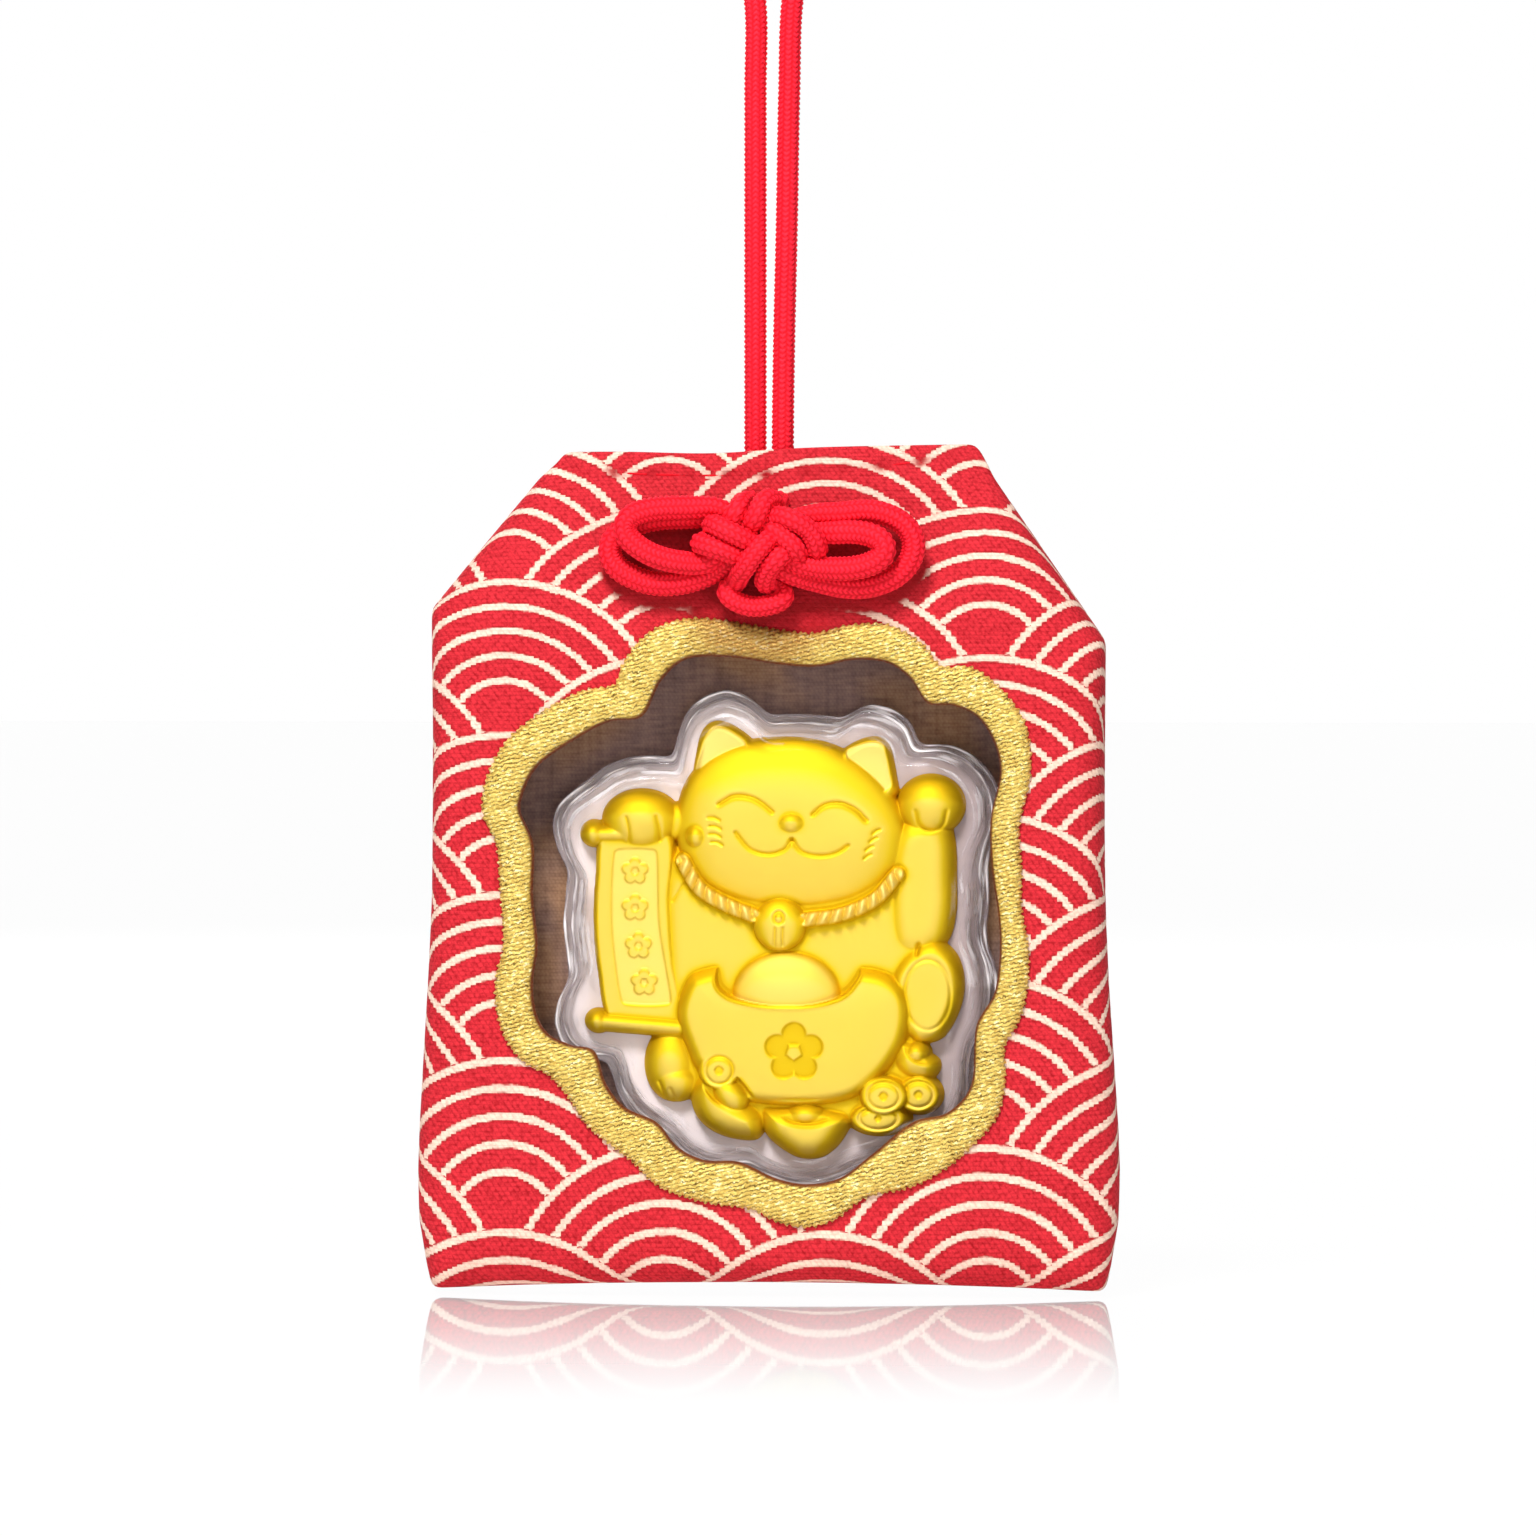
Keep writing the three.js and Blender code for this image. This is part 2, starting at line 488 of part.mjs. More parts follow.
function goldCat() {
  const domes = DOMES.map(([x, z, wide, tall, rise]) => {
    const facets = wide > SMALL_DOME ? DOME_FACETS : SMALL_DOME_FACETS;
    const sphere = new THREE.SphereGeometry(1, facets, facets / 2);
    return toSolid(sphere.scale(wide, rise, tall).translate(x, 0, z));
  });
  const coins = COINS.map(([x, z, radius, rise]) => {
    const circle = new THREE.Shape().absarc(x, z, radius, 0, 2 * Math.PI, false);
    return toSolid(slab(circle, rise, COIN_FACETS));
  });
  const rods = SCROLL_RODS.map((rod) => {
    const ends = rod.map(([x, z]) => new THREE.Vector3(x, ROD_RADIUS - ROD_RISE, z));
    return toSolid(tube(new THREE.LineCurve3(...ends), ROD_RADIUS, CORD_FACETS, 1));
  });
  const sheet = (corners, rise) => toSolid(slab(new THREE.Shape(about(corners)), rise, 1));
  const sheets = [sheet(LEFT_EAR, EAR_RISE), sheet(RIGHT_EAR, EAR_RISE), sheet(SCROLL, SCROLL_RISE)];
  const ropeCurve = new THREE.CatmullRomCurve3(ROPE.map(([x, z]) => new THREE.Vector3(x, -ROPE_DEPTH, z)));
  const rope = toSolid(tube(ropeCurve, ROPE_RADIUS, KNOT_FACETS, ROPE_STEPS));
  const reachOut = 2 * POUCH_HALF_WIDTH;
  const front = new THREE.BoxGeometry(reachOut, CAT_RELIEF + CLOTH, reachOut);
  front.translate(0, -(CAT_RELIEF + CLOTH) / 2, 0);
  const cat = unite([...domes, ...coins, ...rods, ...sheets, rope]).intersect(toSolid(front));
  return fromSolid(cat).translate(CENTRE.x, CAT_BACK, CENTRE.y);
}

// A stretch of a longer curve
class Stretch extends THREE.Curve {
  constructor(curve, from, to) {
    super();
    Object.assign(this, { curve, from, to });
  }

  getPoint(t, target = new THREE.Vector3()) {
    return target.copy(this.curve.getPointAt(THREE.MathUtils.lerp(this.from, this.to, t)));
  }
}

function knotCord() {
  const tailTop = HINGE_RISE - CORD / 2 - FIT;
  const ends = [LEFT_TAIL[0], RIGHT_TAIL[2]].map(([x, y]) => [x, y, tailTop]);
  const route = [ends[0], ...LEFT_TAIL, ...KNOT_ROUTE, ...RIGHT_TAIL, ends[1]];
  const curve = new THREE.CatmullRomCurve3(route.map((p) => new THREE.Vector3(...p)), false, 'centripetal');
  const length = curve.getLength();
  const lap = STRETCH_LAP / length;
  const steps = Math.round(length / KNOT_STRETCHES / KNOT_STEP);
  const solids = Array.from({ length: KNOT_STRETCHES }, (_, i) => {
    const part = new Stretch(curve, i / KNOT_STRETCHES, Math.min(1, (i + 1) / KNOT_STRETCHES + lap));
    return toSolid(tube(part, CORD / 2, KNOT_FACETS, steps));
  });
  return outerSkin(fromSolid(unite(solids)));
}

function hangLoop() {
  const ends = [LEFT_TAIL[0][0], RIGHT_TAIL[2][0]].map((x) => [x, HINGE_RISE]);
  const route = [ends[0], ...LOOP_ROUTE, ends[1]].map(([x, z]) => new THREE.Vector3(x, 0, z));
  const curve = new THREE.CatmullRomCurve3(route, false, 'centripetal');
  const steps = Math.round(curve.getLength() / LOOP_STEP);
  const strand = toSolid(tube(curve, CORD / 2, CORD_FACETS, steps));
  const tips = ends.map(([x, z]) => toSolid(ball(CORD / 2, [x, 0, z])));
  return fromSolid(unite([strand, ...tips]));
}

function piece(name, geometry, colour, roughness, metalness) {
  const material = new THREE.MeshStandardMaterial({ color: colour, roughness, metalness });
  const mesh = new THREE.Mesh(geometry, material);
  mesh.name = name;
  return mesh;
}

const capsule = new THREE.Group();
capsule.add(
  piece('capsule_front_shell', capsuleFrontShell(), 0xd8d2da, 0.1, 0),
  piece('capsule_rear_plate', capsuleRearPlate(), 0xc8bec8, 0.3, 0),
  piece('gold_cat', goldCat(), 0xf0c81e, 0.35, 1),
);

const charm = new THREE.Group();
charm.position.z = -LOOP_RISE;
charm.add(
  piece('front_panel', frontPanel(), 0xeb3741, 0.8, 0),
  piece('back_panel', backPanel(), 0xeb3741, 0.8, 0),
  piece('window_border', windowBorder(), 0xd7af46, 0.45, 0.6),
  piece('front_lining', frontLining(), 0x5f4841, 0.9, 0),
  piece('pocket_gusset', pocketGusset(), 0x5f4841, 0.9, 0),
  piece('back_lining', backLining(), 0x5f4841, 0.9, 0),
  piece('stiffener_card', stiffenerCard(), 0xe6e0d2, 0.9, 0),
  piece('knot_cord', knotCord(), 0xfa283c, 0.7, 0),
  piece('hang_loop', hangLoop(), 0xfa283c, 0.7, 0),
  capsule,
);

export default charm;
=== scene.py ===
"""Looks of a cloth charm pouch with a gold cat in a clear capsule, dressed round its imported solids."""

import math

import bmesh
import bpy
import numpy as np
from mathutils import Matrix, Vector


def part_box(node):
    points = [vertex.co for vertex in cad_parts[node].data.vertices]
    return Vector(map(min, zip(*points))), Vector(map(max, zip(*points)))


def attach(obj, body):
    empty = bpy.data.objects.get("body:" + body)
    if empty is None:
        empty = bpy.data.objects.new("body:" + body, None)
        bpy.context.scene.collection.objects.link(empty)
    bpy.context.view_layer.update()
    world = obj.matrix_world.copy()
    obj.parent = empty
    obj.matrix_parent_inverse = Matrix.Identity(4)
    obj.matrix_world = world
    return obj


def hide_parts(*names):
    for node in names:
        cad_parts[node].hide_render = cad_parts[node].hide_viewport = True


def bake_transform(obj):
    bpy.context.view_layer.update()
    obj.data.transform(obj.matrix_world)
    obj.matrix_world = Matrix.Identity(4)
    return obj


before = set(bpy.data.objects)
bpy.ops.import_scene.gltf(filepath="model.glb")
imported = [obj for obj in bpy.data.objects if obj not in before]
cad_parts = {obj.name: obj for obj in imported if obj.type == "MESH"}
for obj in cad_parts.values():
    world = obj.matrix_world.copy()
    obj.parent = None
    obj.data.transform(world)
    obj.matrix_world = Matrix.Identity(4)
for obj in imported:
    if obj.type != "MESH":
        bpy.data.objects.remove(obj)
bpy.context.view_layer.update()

# Sizes in millimetres. Heights run from the pouch's top edge, depths from the mouth's middle to the back.
MM = 0.001
LOOP_RISE = 52.2
MOUTH_HALF_WIDTH = 17.9
MOUTH_RUN = 8
SIDE_FULLNESS = 3.2
MOUTH_FULLNESS = 1.25
SEAM_HALF_GAP = 0.15
LIP_DEPTH = 2.0
CENTRE = np.array([0, -41.56])
CORD = 2.0
HINGE_RISE = 1.6
CAT_BACK = 0.3
BORDER_RISE = 0.9
STITCH_SLANT = math.radians(-14)
HUB = 1.0

# Rounding limits, so that nothing is divided by nought
TINY = 1e-9
SLACK = 1e-6

# Outlines about the window's centre, clockwise from the upper left
WINDOW = [
    (-10.8, 18.3), (-9, 21.5), (-6.9, 23.3), (-3, 23.5), (1.2, 22.9), (4.6, 22.7), (8, 23.3),
    (10.8, 23), (12.7, 21.7), (14.3, 19.5), (16.5, 19.3), (18.6, 18.3), (20.1, 16), (20.6, 13.5),
    (19.8, 9.5), (19.9, 5.2), (20.5, 0.8), (20.6, -2.2), (20.1, -5.8), (18.6, -8.5), (18, -14),
    (16, -16.2), (13.1, -17), (9.4, -19.9), (6.5, -22), (3.6, -22.5), (1, -22), (-2.2, -20.6),
    (-5.4, -20.4), (-7.6, -19.3), (-9.4, -17.2), (-12.3, -15.8), (-13.9, -13.8), (-15, -10.9),
    (-17, -10.4), (-19, -9.4), (-20, -7.7), (-20.3, -4.9), (-19.9, -1.9), (-20.3, 2.5),
    (-20.3, 7.3), (-21.4, 10.1), (-21.3, 11.1), (-20, 13.8), (-16.3, 16.5), (-13.5, 17.9),
]
BORDER = [
    (-13, 21.1), (-12.4, 22.7), (-10.8, 24.9), (-8.6, 26.3), (-5.7, 26.8), (2, 25.7), (4.4, 25.5),
    (7.4, 26.2), (10.9, 26.2), (13.9, 24.5), (15.4, 22.7), (17.9, 22.6), (20.7, 20.6), (22.7, 17.7),
    (23.2, 14.5), (23, 12.2), (22.2, 8.8), (22.4, 5.2), (22.4, 1.7), (23, -1.8), (22.9, -5.3),
    (22.2, -8.1), (21, -10.2), (21, -13.2), (20.3, -16.4), (18.2, -18.9), (15.9, -20.9),
    (12.7, -22.6), (8.9, -23.5), (6, -25.5), (3.6, -26.1), (1, -25.6), (-1, -24.6), (-5.1, -24),
    (-9.2, -22.6), (-11.6, -20.4), (-13.3, -19.1), (-15.4, -17.4), (-17.1, -14.9), (-18.8, -13),
    (-20.9, -11.9), (-22.6, -9.8), (-23.4, -7), (-23.4, -4.3), (-22.8, -1.8), (-23.1, 3.8),
    (-23.4, 7.2), (-24.5, 9.5), (-24.6, 11.1), (-24, 13.5), (-22.4, 16.2), (-19.3, 18.7), (-15.8, 20.5),
]

# Cord routes: x, depth, height, one cord from the left tail to the right one
LOOP_ROUTE = [
    (-1.15, 9), (-1.15, 20), (-1.15, 31), (-1.2, 39), (-2.2, 43), (-4.1, 46.4), (-4.7, 49.3), (-3, 52.2),
    (0, 53.2), (3, 52.2), (4.9, 49.3), (4.6, 46.4), (3, 43), (2.1, 39), (1.8, 31), (1.6, 20), (1.35, 9),
]
LEFT_TAIL = [(-1.15, 0, -1), (-1.15, -0.2, -3.1), (-1.25, -1.8, -4.5)]
RIGHT_TAIL = [(1.25, -1.8, -4.5), (1.25, -0.2, -3.1), (1.25, 0, -1)]
KNOT_ROUTE = [
    (-1.3, -4.6, -5.2), (-1.5, -7.6, -5.4), (-1.9, -9.3, -5.9), (-2.3, -8.5, -6.6), (-2.4, -7.5, -7.6),
    (-3.3, -7.1, -9.1), (-5, -7.2, -10), (-7.3, -7.6, -9.9), (-9.3, -7.8, -9.4), (-11, -7.8, -8.4),
    (-12, -7.7, -7.3), (-11.7, -7.6, -6.1), (-10, -7.5, -5.4), (-7.3, -7.4, -5.2), (-4.4, -7.3, -5.4),
    (-1.8, -7, -6.35), (0.6, -8.4, -6.6), (2.3, -9.6, -6.6), (3.7, -9.3, -7.1), (4.3, -8, -8.2),
    (3.9, -6.3, -8.8), (2.4, -5.8, -8.6), (0, -5.7, -8), (-2.2, -5.7, -7.3), (-3.4, -6.3, -7),
    (-3.9, -7.9, -6.8), (-3.2, -9.3, -6.9), (-2, -9.6, -7.15), (-0.9, -8.9, -7.6), (0.9, -7.6, -8.8),
    (2.6, -7.3, -9.8), (4.6, -7.6, -10.3), (7, -8.2, -10.5), (9.2, -8.5, -10.2), (10.8, -8.6, -9.2),
    (10.6, -8.5, -8.1), (9, -8.3, -7.4), (7, -8, -7.3), (5, -7.6, -7.6), (3.6, -7.6, -8),
    (2.5, -8.4, -8.4), (1.6, -9.5, -9.3), (0.7, -9.1, -10.3), (0.4, -7.6, -11), (1, -6.4, -11.5),
    (2, -6.5, -12.1), (2.1, -7, -13), (0.9, -7.3, -13.6), (-0.9, -7.3, -13.8), (-2.6, -7.1, -13.2),
    (-3.5, -6.6, -12.1), (-2.7, -6.5, -11.2), (-2, -7.6, -10.7), (-1.5, -9.1, -10), (-0.5, -9.6, -8.8),
    (0.6, -8.6, -7.5), (1.9, -7.5, -6.7), (3.5, -7.3, -6.3), (5, -7.2, -6), (7, -7, -5.7),
    (9.2, -6.9, -5.5), (11.5, -6.8, -6.1), (13, -6.8, -7.5), (13, -6.8, -9.5), (11.5, -6.7, -11.2),
    (8.8, -6.6, -12.1), (6.1, -6.6, -11.9), (4, -6.7, -11.3), (2.2, -7, -10.5), (0.3, -7.2, -9.8),
    (-1.3, -8.2, -9.3), (-3, -9.5, -8.85), (-4.3, -9.2, -8.6), (-4.95, -7.7, -8.6), (-4.3, -6.2, -8.8),
    (-2.2, -5.8, -9.5), (0.7, -5.9, -10.1), (2.7, -6, -9.8), (3.2, -7.2, -9), (3, -8.7, -8.2),
    (2.1, -9.4, -7.6), (1.2, -9, -7.2), (0.2, -8.2, -6.9), (-1.1, -7, -6.5), (-3.5, -6.4, -6.1),
    (-6.6, -5.9, -6), (-9.6, -5.8, -6.2), (-12, -5.8, -7), (-13.4, -5.9, -8.4), (-13.1, -6, -10),
    (-11.6, -6.1, -11.1), (-9.4, -6.2, -11.8), (-7, -6.3, -11.7), (-4.9, -6.5, -11), (-3.3, -6.9, -10.2),
    (-2.4, -7.3, -8.9), (-1.5, -7.4, -7.6), (-0.8, -8.7, -6.7), (-0.1, -9.4, -6), (0.7, -8, -5.5),
    (1.1, -5, -5.2),
]

# Camera: the photograph's frame is this wide at the pouch
FRAME_WIDTH = 133.4
LENS = 250
SENSOR = 36
AZIMUTH = 4.5
ELEVATION = 1.2
AIM = (0.26, -4, -27.8)
CLIP = 0.01, 50


# Camera and curves

def to_frame(points):
    """Pouch millimetres to metres in the frame."""
    return (np.asarray(points, float) + (0, 0, -LOOP_RISE)) * MM


def depths_of(node):
    """Front and back of a solid, in pouch millimetres."""
    return [corner.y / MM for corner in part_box(node)]


def add_object(name, data):
    obj = bpy.data.objects.new(name, data)
    bpy.context.scene.collection.objects.link(obj)
    return obj


def face(obj, direction):
    """Turns a camera or a lamp to look along a direction."""
    obj.rotation_euler = direction.to_track_quat("-Z", "Y").to_euler()


def make_camera():
    data = bpy.data.cameras.new("camera")
    data.lens, data.sensor_width = LENS, SENSOR
    data.clip_start, data.clip_end = CLIP
    turn, tilt = math.radians(AZIMUTH), math.radians(ELEVATION)
    back = Vector((math.sin(turn) * math.cos(tilt), -math.cos(turn) * math.cos(tilt), math.sin(tilt)))
    camera = add_object("camera", data)
    camera.location = Vector(to_frame(AIM)) + back * (FRAME_WIDTH * MM * LENS / SENSOR)
    face(camera, -back)
    bpy.context.scene.camera = camera


def spline(points, step, closed=False):
    """A centripetal curve through the points, with a sample about every step."""
    p = np.asarray(points, float)
    ends = (p[-1:], p[:2]) if closed else (2 * p[:1] - p[1:2], 2 * p[-1:] - p[-2:-1])
    p = np.vstack([ends[0], p, ends[1]])
    gap = np.sqrt(np.linalg.norm(np.diff(p, axis=0), axis=1))
    runs = []
    for i in range(1, len(p) - 2):
        a, b, c, d = p[i - 1:i + 3]
        before, here, after = gap[i - 1:i + 2]
        leave = here * ((b - a) / before - (c - a) / (before + here)) + c - b
        arrive = here * ((d - c) / after - (d - b) / (here + after)) + c - b
        count = max(1, round(np.linalg.norm(c - b) / step))
        t = np.arange(count)[:, None] / count
        runs.append(b + t * leave + t**2 * (3 * (c - b) - 2 * leave - arrive)
                    + t**3 * (2 * (b - c) + leave + arrive))
    return np.vstack(runs if closed else runs + [p[-2:-1]])


def evenly(line, step):
    """The line again, with its points the same step apart."""
    run = np.concatenate([[0], np.cumsum(np.linalg.norm(np.diff(line, axis=0), axis=1))])
    at = np.linspace(0, run[-1], max(2, round(run[-1] / step) + 1))
    return np.column_stack([np.interp(at, run, axis) for axis in line.T])


def turns(count):
    """Angles all the way round, evenly spaced."""
    return np.arange(count) * 2 * np.pi / count


def polar(radii, angles):
    """Points at some radii on rays from a centre."""
    return np.stack([radii * np.cos(angles), radii * np.sin(angles)], -1)


def on_rays(radii, angles):
    """x and height of points at some radii on rays from the window's centre."""
    return np.moveaxis(CENTRE + polar(radii, angles), -1, 0)


def reach(outline, angles):
    """How far each ray from the centre runs before it leaves a closed outline."""
    step = np.roll(outline, -1, 0) - outline
    ray = polar(1, angles)
    det = ray[:, :1] * step[:, 1] - ray[:, 1:] * step[:, 0]
    det = np.where(np.abs(det) < TINY, TINY, det)
    along = (outline[:, 0] * step[:, 1] - outline[:, 1] * step[:, 0]) / det
    share = (ray[:, 1:] * outline[:, 0] - ray[:, :1] * outline[:, 1]) / det
    met = (share > -SLACK) & (share < 1 + SLACK) & (along > 0)
    return np.where(met, along, 0).max(1)


def outline_of(node):
    """Outermost points of a solid about the window's centre, in order, without those close to it."""
    points = np.array([v.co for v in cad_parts[node].data.vertices]) / MM
    flat = points[:, [0, 2]] + (0, LOOP_RISE) - CENTRE
    angle = np.round(np.arctan2(flat[:, 1], flat[:, 0]), 4)
    far = np.hypot(*flat.T)
    rays = np.unique(angle)
    radii = np.array([far[angle == ray].max() for ray in rays])
    return polar(radii, rays)[radii > HUB]


def softened(ring, width):
    """A closed run of values with its corners rounded over some samples."""
    kernel = np.hanning(2 * width + 3)[1:-1]
    padded = np.concatenate([ring[-width:], ring, ring[:width]])
    return np.convolve(padded, kernel / kernel.sum(), "valid")


def smoothstep(x, low, high):
    t = np.clip((x - low) / (high - low), 0, 1)
    return t * t * (3 - 2 * t)


# Shader arithmetic

MILLIMETRES = (1000, 1000, 1000)


def srgb(red, green, blue):
    """A colour written in 0 to 255, as linear light."""
    parts = [c / 255 for c in (red, green, blue)]
    return (*[c / 12.92 if c <= 0.04045 else ((c + 0.055) / 1.055) ** 2.4 for c in parts], 1)


def put(tree, socket, value):
    if isinstance(value, Term):
        tree.links.new(value.socket, socket)
    else:
        socket.default_value = value


class Term:
    """A shader value that takes part in arithmetic."""

    def __init__(self, tree, socket):
        self.tree, self.socket = tree, socket

    def of(self, operation, *others):
        node = self.tree.nodes.new("ShaderNodeMath")
        node.operation = operation
        for socket, value in zip(node.inputs, (self, *others)):
            put(self.tree, socket, value)
        return Term(self.tree, node.outputs[0])

    def __add__(self, other):
        return self.of("ADD", other)

    def __sub__(self, other):
        return self.of("SUBTRACT", other)

    def __mul__(self, other):
        return self.of("MULTIPLY", other)

    def __truediv__(self, other):
        return self.of("DIVIDE", other)

    def less_from(self, start):
        return self.of("MULTIPLY_ADD", -1, start)

    def ease(self, low, high):
        """0 at low and 1 at high, smooth between them."""
        node = self.tree.nodes.new("ShaderNodeMapRange")
        node.interpolation_type = "SMOOTHSTEP"
        put(self.tree, node.inputs["Value"], self)
        node.inputs["From Min"].default_value, node.inputs["From Max"].default_value = low, high
        return Term(self.tree, node.outputs[0])

    def hump(self):
        """A half wave over each whole step."""
        return (self.of("FRACT") * math.pi).of("SINE")

    def blend(self, first, second):
        """The first colour at 0 and the second at 1."""
        node = self.tree.nodes.new("ShaderNodeMix")
        node.data_type = "RGBA"
        put(self.tree, node.inputs["Factor"], self)
        put(self.tree, node.inputs[6], first)
        put(self.tree, node.inputs[7], second)
        return Term(self.tree, node.outputs[2])


def new_node(tree, kind, values):
    """A shader node with some of its inputs set, or linked where the value is a term."""
    node = tree.nodes.new("ShaderNode" + kind)
    for key, value in values.items():
        put(tree, node.inputs[key], value)
    return node


def principled(name, values):
    material = bpy.data.materials.new(name)
    material.use_nodes = True
    shader = material.node_tree.nodes["Principled BSDF"]
    for key, value in values.items():
        shader.inputs[key].default_value = value
    return material, material.node_tree, shader


def mark(tree, name, output="Fac"):
    """A value that is kept on a piece's points."""
    node = tree.nodes.new("ShaderNodeAttribute")
    node.attribute_name = name
    return Term(tree, node.outputs[output])


def split(vector):
    node = new_node(vector.tree, "SeparateXYZ", {0: vector})
    return [Term(vector.tree, out) for out in node.outputs]


def place(tree, scale=MILLIMETRES, turn=0.0):
    """A piece's own coordinates, in millimetres unless another scale is given."""
    coordinates = tree.nodes.new("ShaderNodeTexCoord")
    mapping = new_node(tree, "Mapping", {
        "Vector": Term(tree, coordinates.outputs["Object"]),
        "Rotation": (0, turn, 0),
        "Scale": [1 / s for s in scale] if turn else scale,
    })
    # A texture mapping divides by its scale, after its turn
    mapping.vector_type = "TEXTURE" if turn else "POINT"
    return Term(tree, mapping.outputs[0])


def noise(vector, scale, detail=2.0):
    node = new_node(vector.tree, "TexNoise", {"Vector": vector, "Scale": scale, "Detail": detail})
    return Term(vector.tree, node.outputs[0])


def raise_surface(tree, shader, height, depth, strength):
    """Bump of some millimetres where height is 1."""
    bump = new_node(tree, "Bump", {"Strength": strength, "Distance": depth * MM, "Height": height})
    tree.links.new(bump.outputs[0], shader.inputs["Normal"])


def mix_shaders(tree, share, first, second):
    """The first shader at a share of 0 and the second at 1."""
    mixed = new_node(tree, "MixShader", {0: share})
    for shader, socket in ((first, mixed.inputs[1]), (second, mixed.inputs[2])):
        tree.links.new(shader.outputs[0], socket)
    return mixed


def show(tree, shader):
    tree.links.new(shader.outputs[0], tree.nodes["Material Output"].inputs["Surface"])


# Colours as they look in plain light, among them the colours of painted shade, shadow, highlight, glint and
# reflection, named as such
RED, RED_PIT, RED_SHADE = srgb(214, 46, 57), srgb(152, 12, 22), srgb(142, 0, 10)
CREAM, CREAM_PIT, LINE_SHADE = srgb(250, 220, 200), srgb(218, 170, 152), srgb(140, 30, 30)
GILT_LOW, GILT_HIGH, GILT_PAINTED_GLINT = srgb(200, 160, 62), srgb(250, 226, 124), srgb(255, 244, 186)
GILT_PIT_SHADE, GILT_SHADE, GILT_RIM = srgb(108, 80, 14), srgb(140, 84, 26), srgb(120, 56, 30)
LINING_GREY, LINING_GREY_LIT = srgb(84, 62, 58), srgb(158, 126, 116)
LINING_WARM, LINING_WARM_LIT = srgb(98, 66, 48), srgb(186, 142, 106)
CARD_FIBRE, CARD_WHITE = srgb(196, 186, 166), srgb(240, 234, 222)
CORD_GROOVE_SHADE, CORD_RED = srgb(206, 4, 24), srgb(255, 38, 60)
GOLD_DARK_SHADE, GOLD_HALF_SHADE = srgb(214, 173, 16), srgb(234, 203, 38)
GOLD_LIT, GOLD_PALE = srgb(240, 212, 94), srgb(250, 227, 130)
PLATE_SHADED, PLATE_LIT = srgb(166, 146, 148), srgb(252, 240, 242)
SHELL_REFLECTION_GREY, SHELL_REFLECTION_WHITE = srgb(140, 126, 132), srgb(250, 244, 247)

# Sizes of woven and stitched patterns
WAVE_RADIUS = 14.0
WAVE_EDGE = 14.37
WAVE_ROW = 7.0
WAVE_STEP = 2.27
WAVE_RINGS = 5
LINE_HALF = 0.3
LINE_BLUR = 0.07
LINE_WOBBLE = 0.25
LINE_EDGE = 0.3
STEP_WIDE, STEP_TALL = 0.46, 0.2
SNAP = 0.6
THREAD_WIDE, THREAD_TALL, THREAD_LEAN = 0.52, 0.37, 0.4
PIT_LONG, PIT_HIGH, PIT_SHIFT = 0.46, 0.36, 0.41
LINING_WIDE, LINING_TALL = 0.34, 0.3

# Grain of stretched patterns, in patches a metre along each axis
GLINT_GRAIN = (2300, 2500, 4200)
WARP_GRAIN, WEFT_GRAIN = (2600, 900, 240), (700, 900, 3400)
CARD_GRAIN = (700, 700, 3000)

# Ends of the plate's painted shade across it, and how fast the shell's painted reflection streaks change
# across and along them
PLATE_DARK, PLATE_LIGHT = 26.0, -12.0
SHELL_ACROSS, SHELL_ALONG = 2.2, 0.22


# Materials

def snapped(value, step):
    """A value drawn part of the way to the thread that it falls on."""
    return value * (1 - SNAP) + (value / step).of("FLOOR") * (step * SNAP)


def off_waves(across_cloth, down_cloth):
    """Distance to the nearest arc of the waves: rings round lattice points, each row over the row above."""
    first = (down_cloth.less_from(WAVE_EDGE - WAVE_RADIUS) / WAVE_ROW).of("FLOOR")
    far = None
    for back in (2, 1, 0):
        row = first - back
        shift = row.of("FLOORED_MODULO", 2) * WAVE_RADIUS
        across = (across_cloth - shift).of("WRAP", WAVE_RADIUS, -WAVE_RADIUS)
        down = down_cloth + row * WAVE_ROW + WAVE_RADIUS
        gap = (across * across + down * down).of("SQRT")
        far = gap if far is None else far + (gap - far) * gap.of("LESS_THAN", WAVE_EDGE)
    ring = far.less_from(WAVE_RADIUS) / WAVE_STEP
    nearest = ring.of("ROUND").of("MINIMUM", WAVE_RINGS - 1)
    return (ring - nearest).of("ABSOLUTE") * WAVE_STEP


def weave(u, v, wide, tall, lean=0.0):
    """Knots of a plain weave: every other row lies half a knot along, and each knot may lean."""
    row = v / tall
    pick = row.of("FLOOR").of("FLOORED_MODULO", 2) * 0.5
    return (u / wide + pick + row.of("FRACT") * lean).hump() * row.hump()


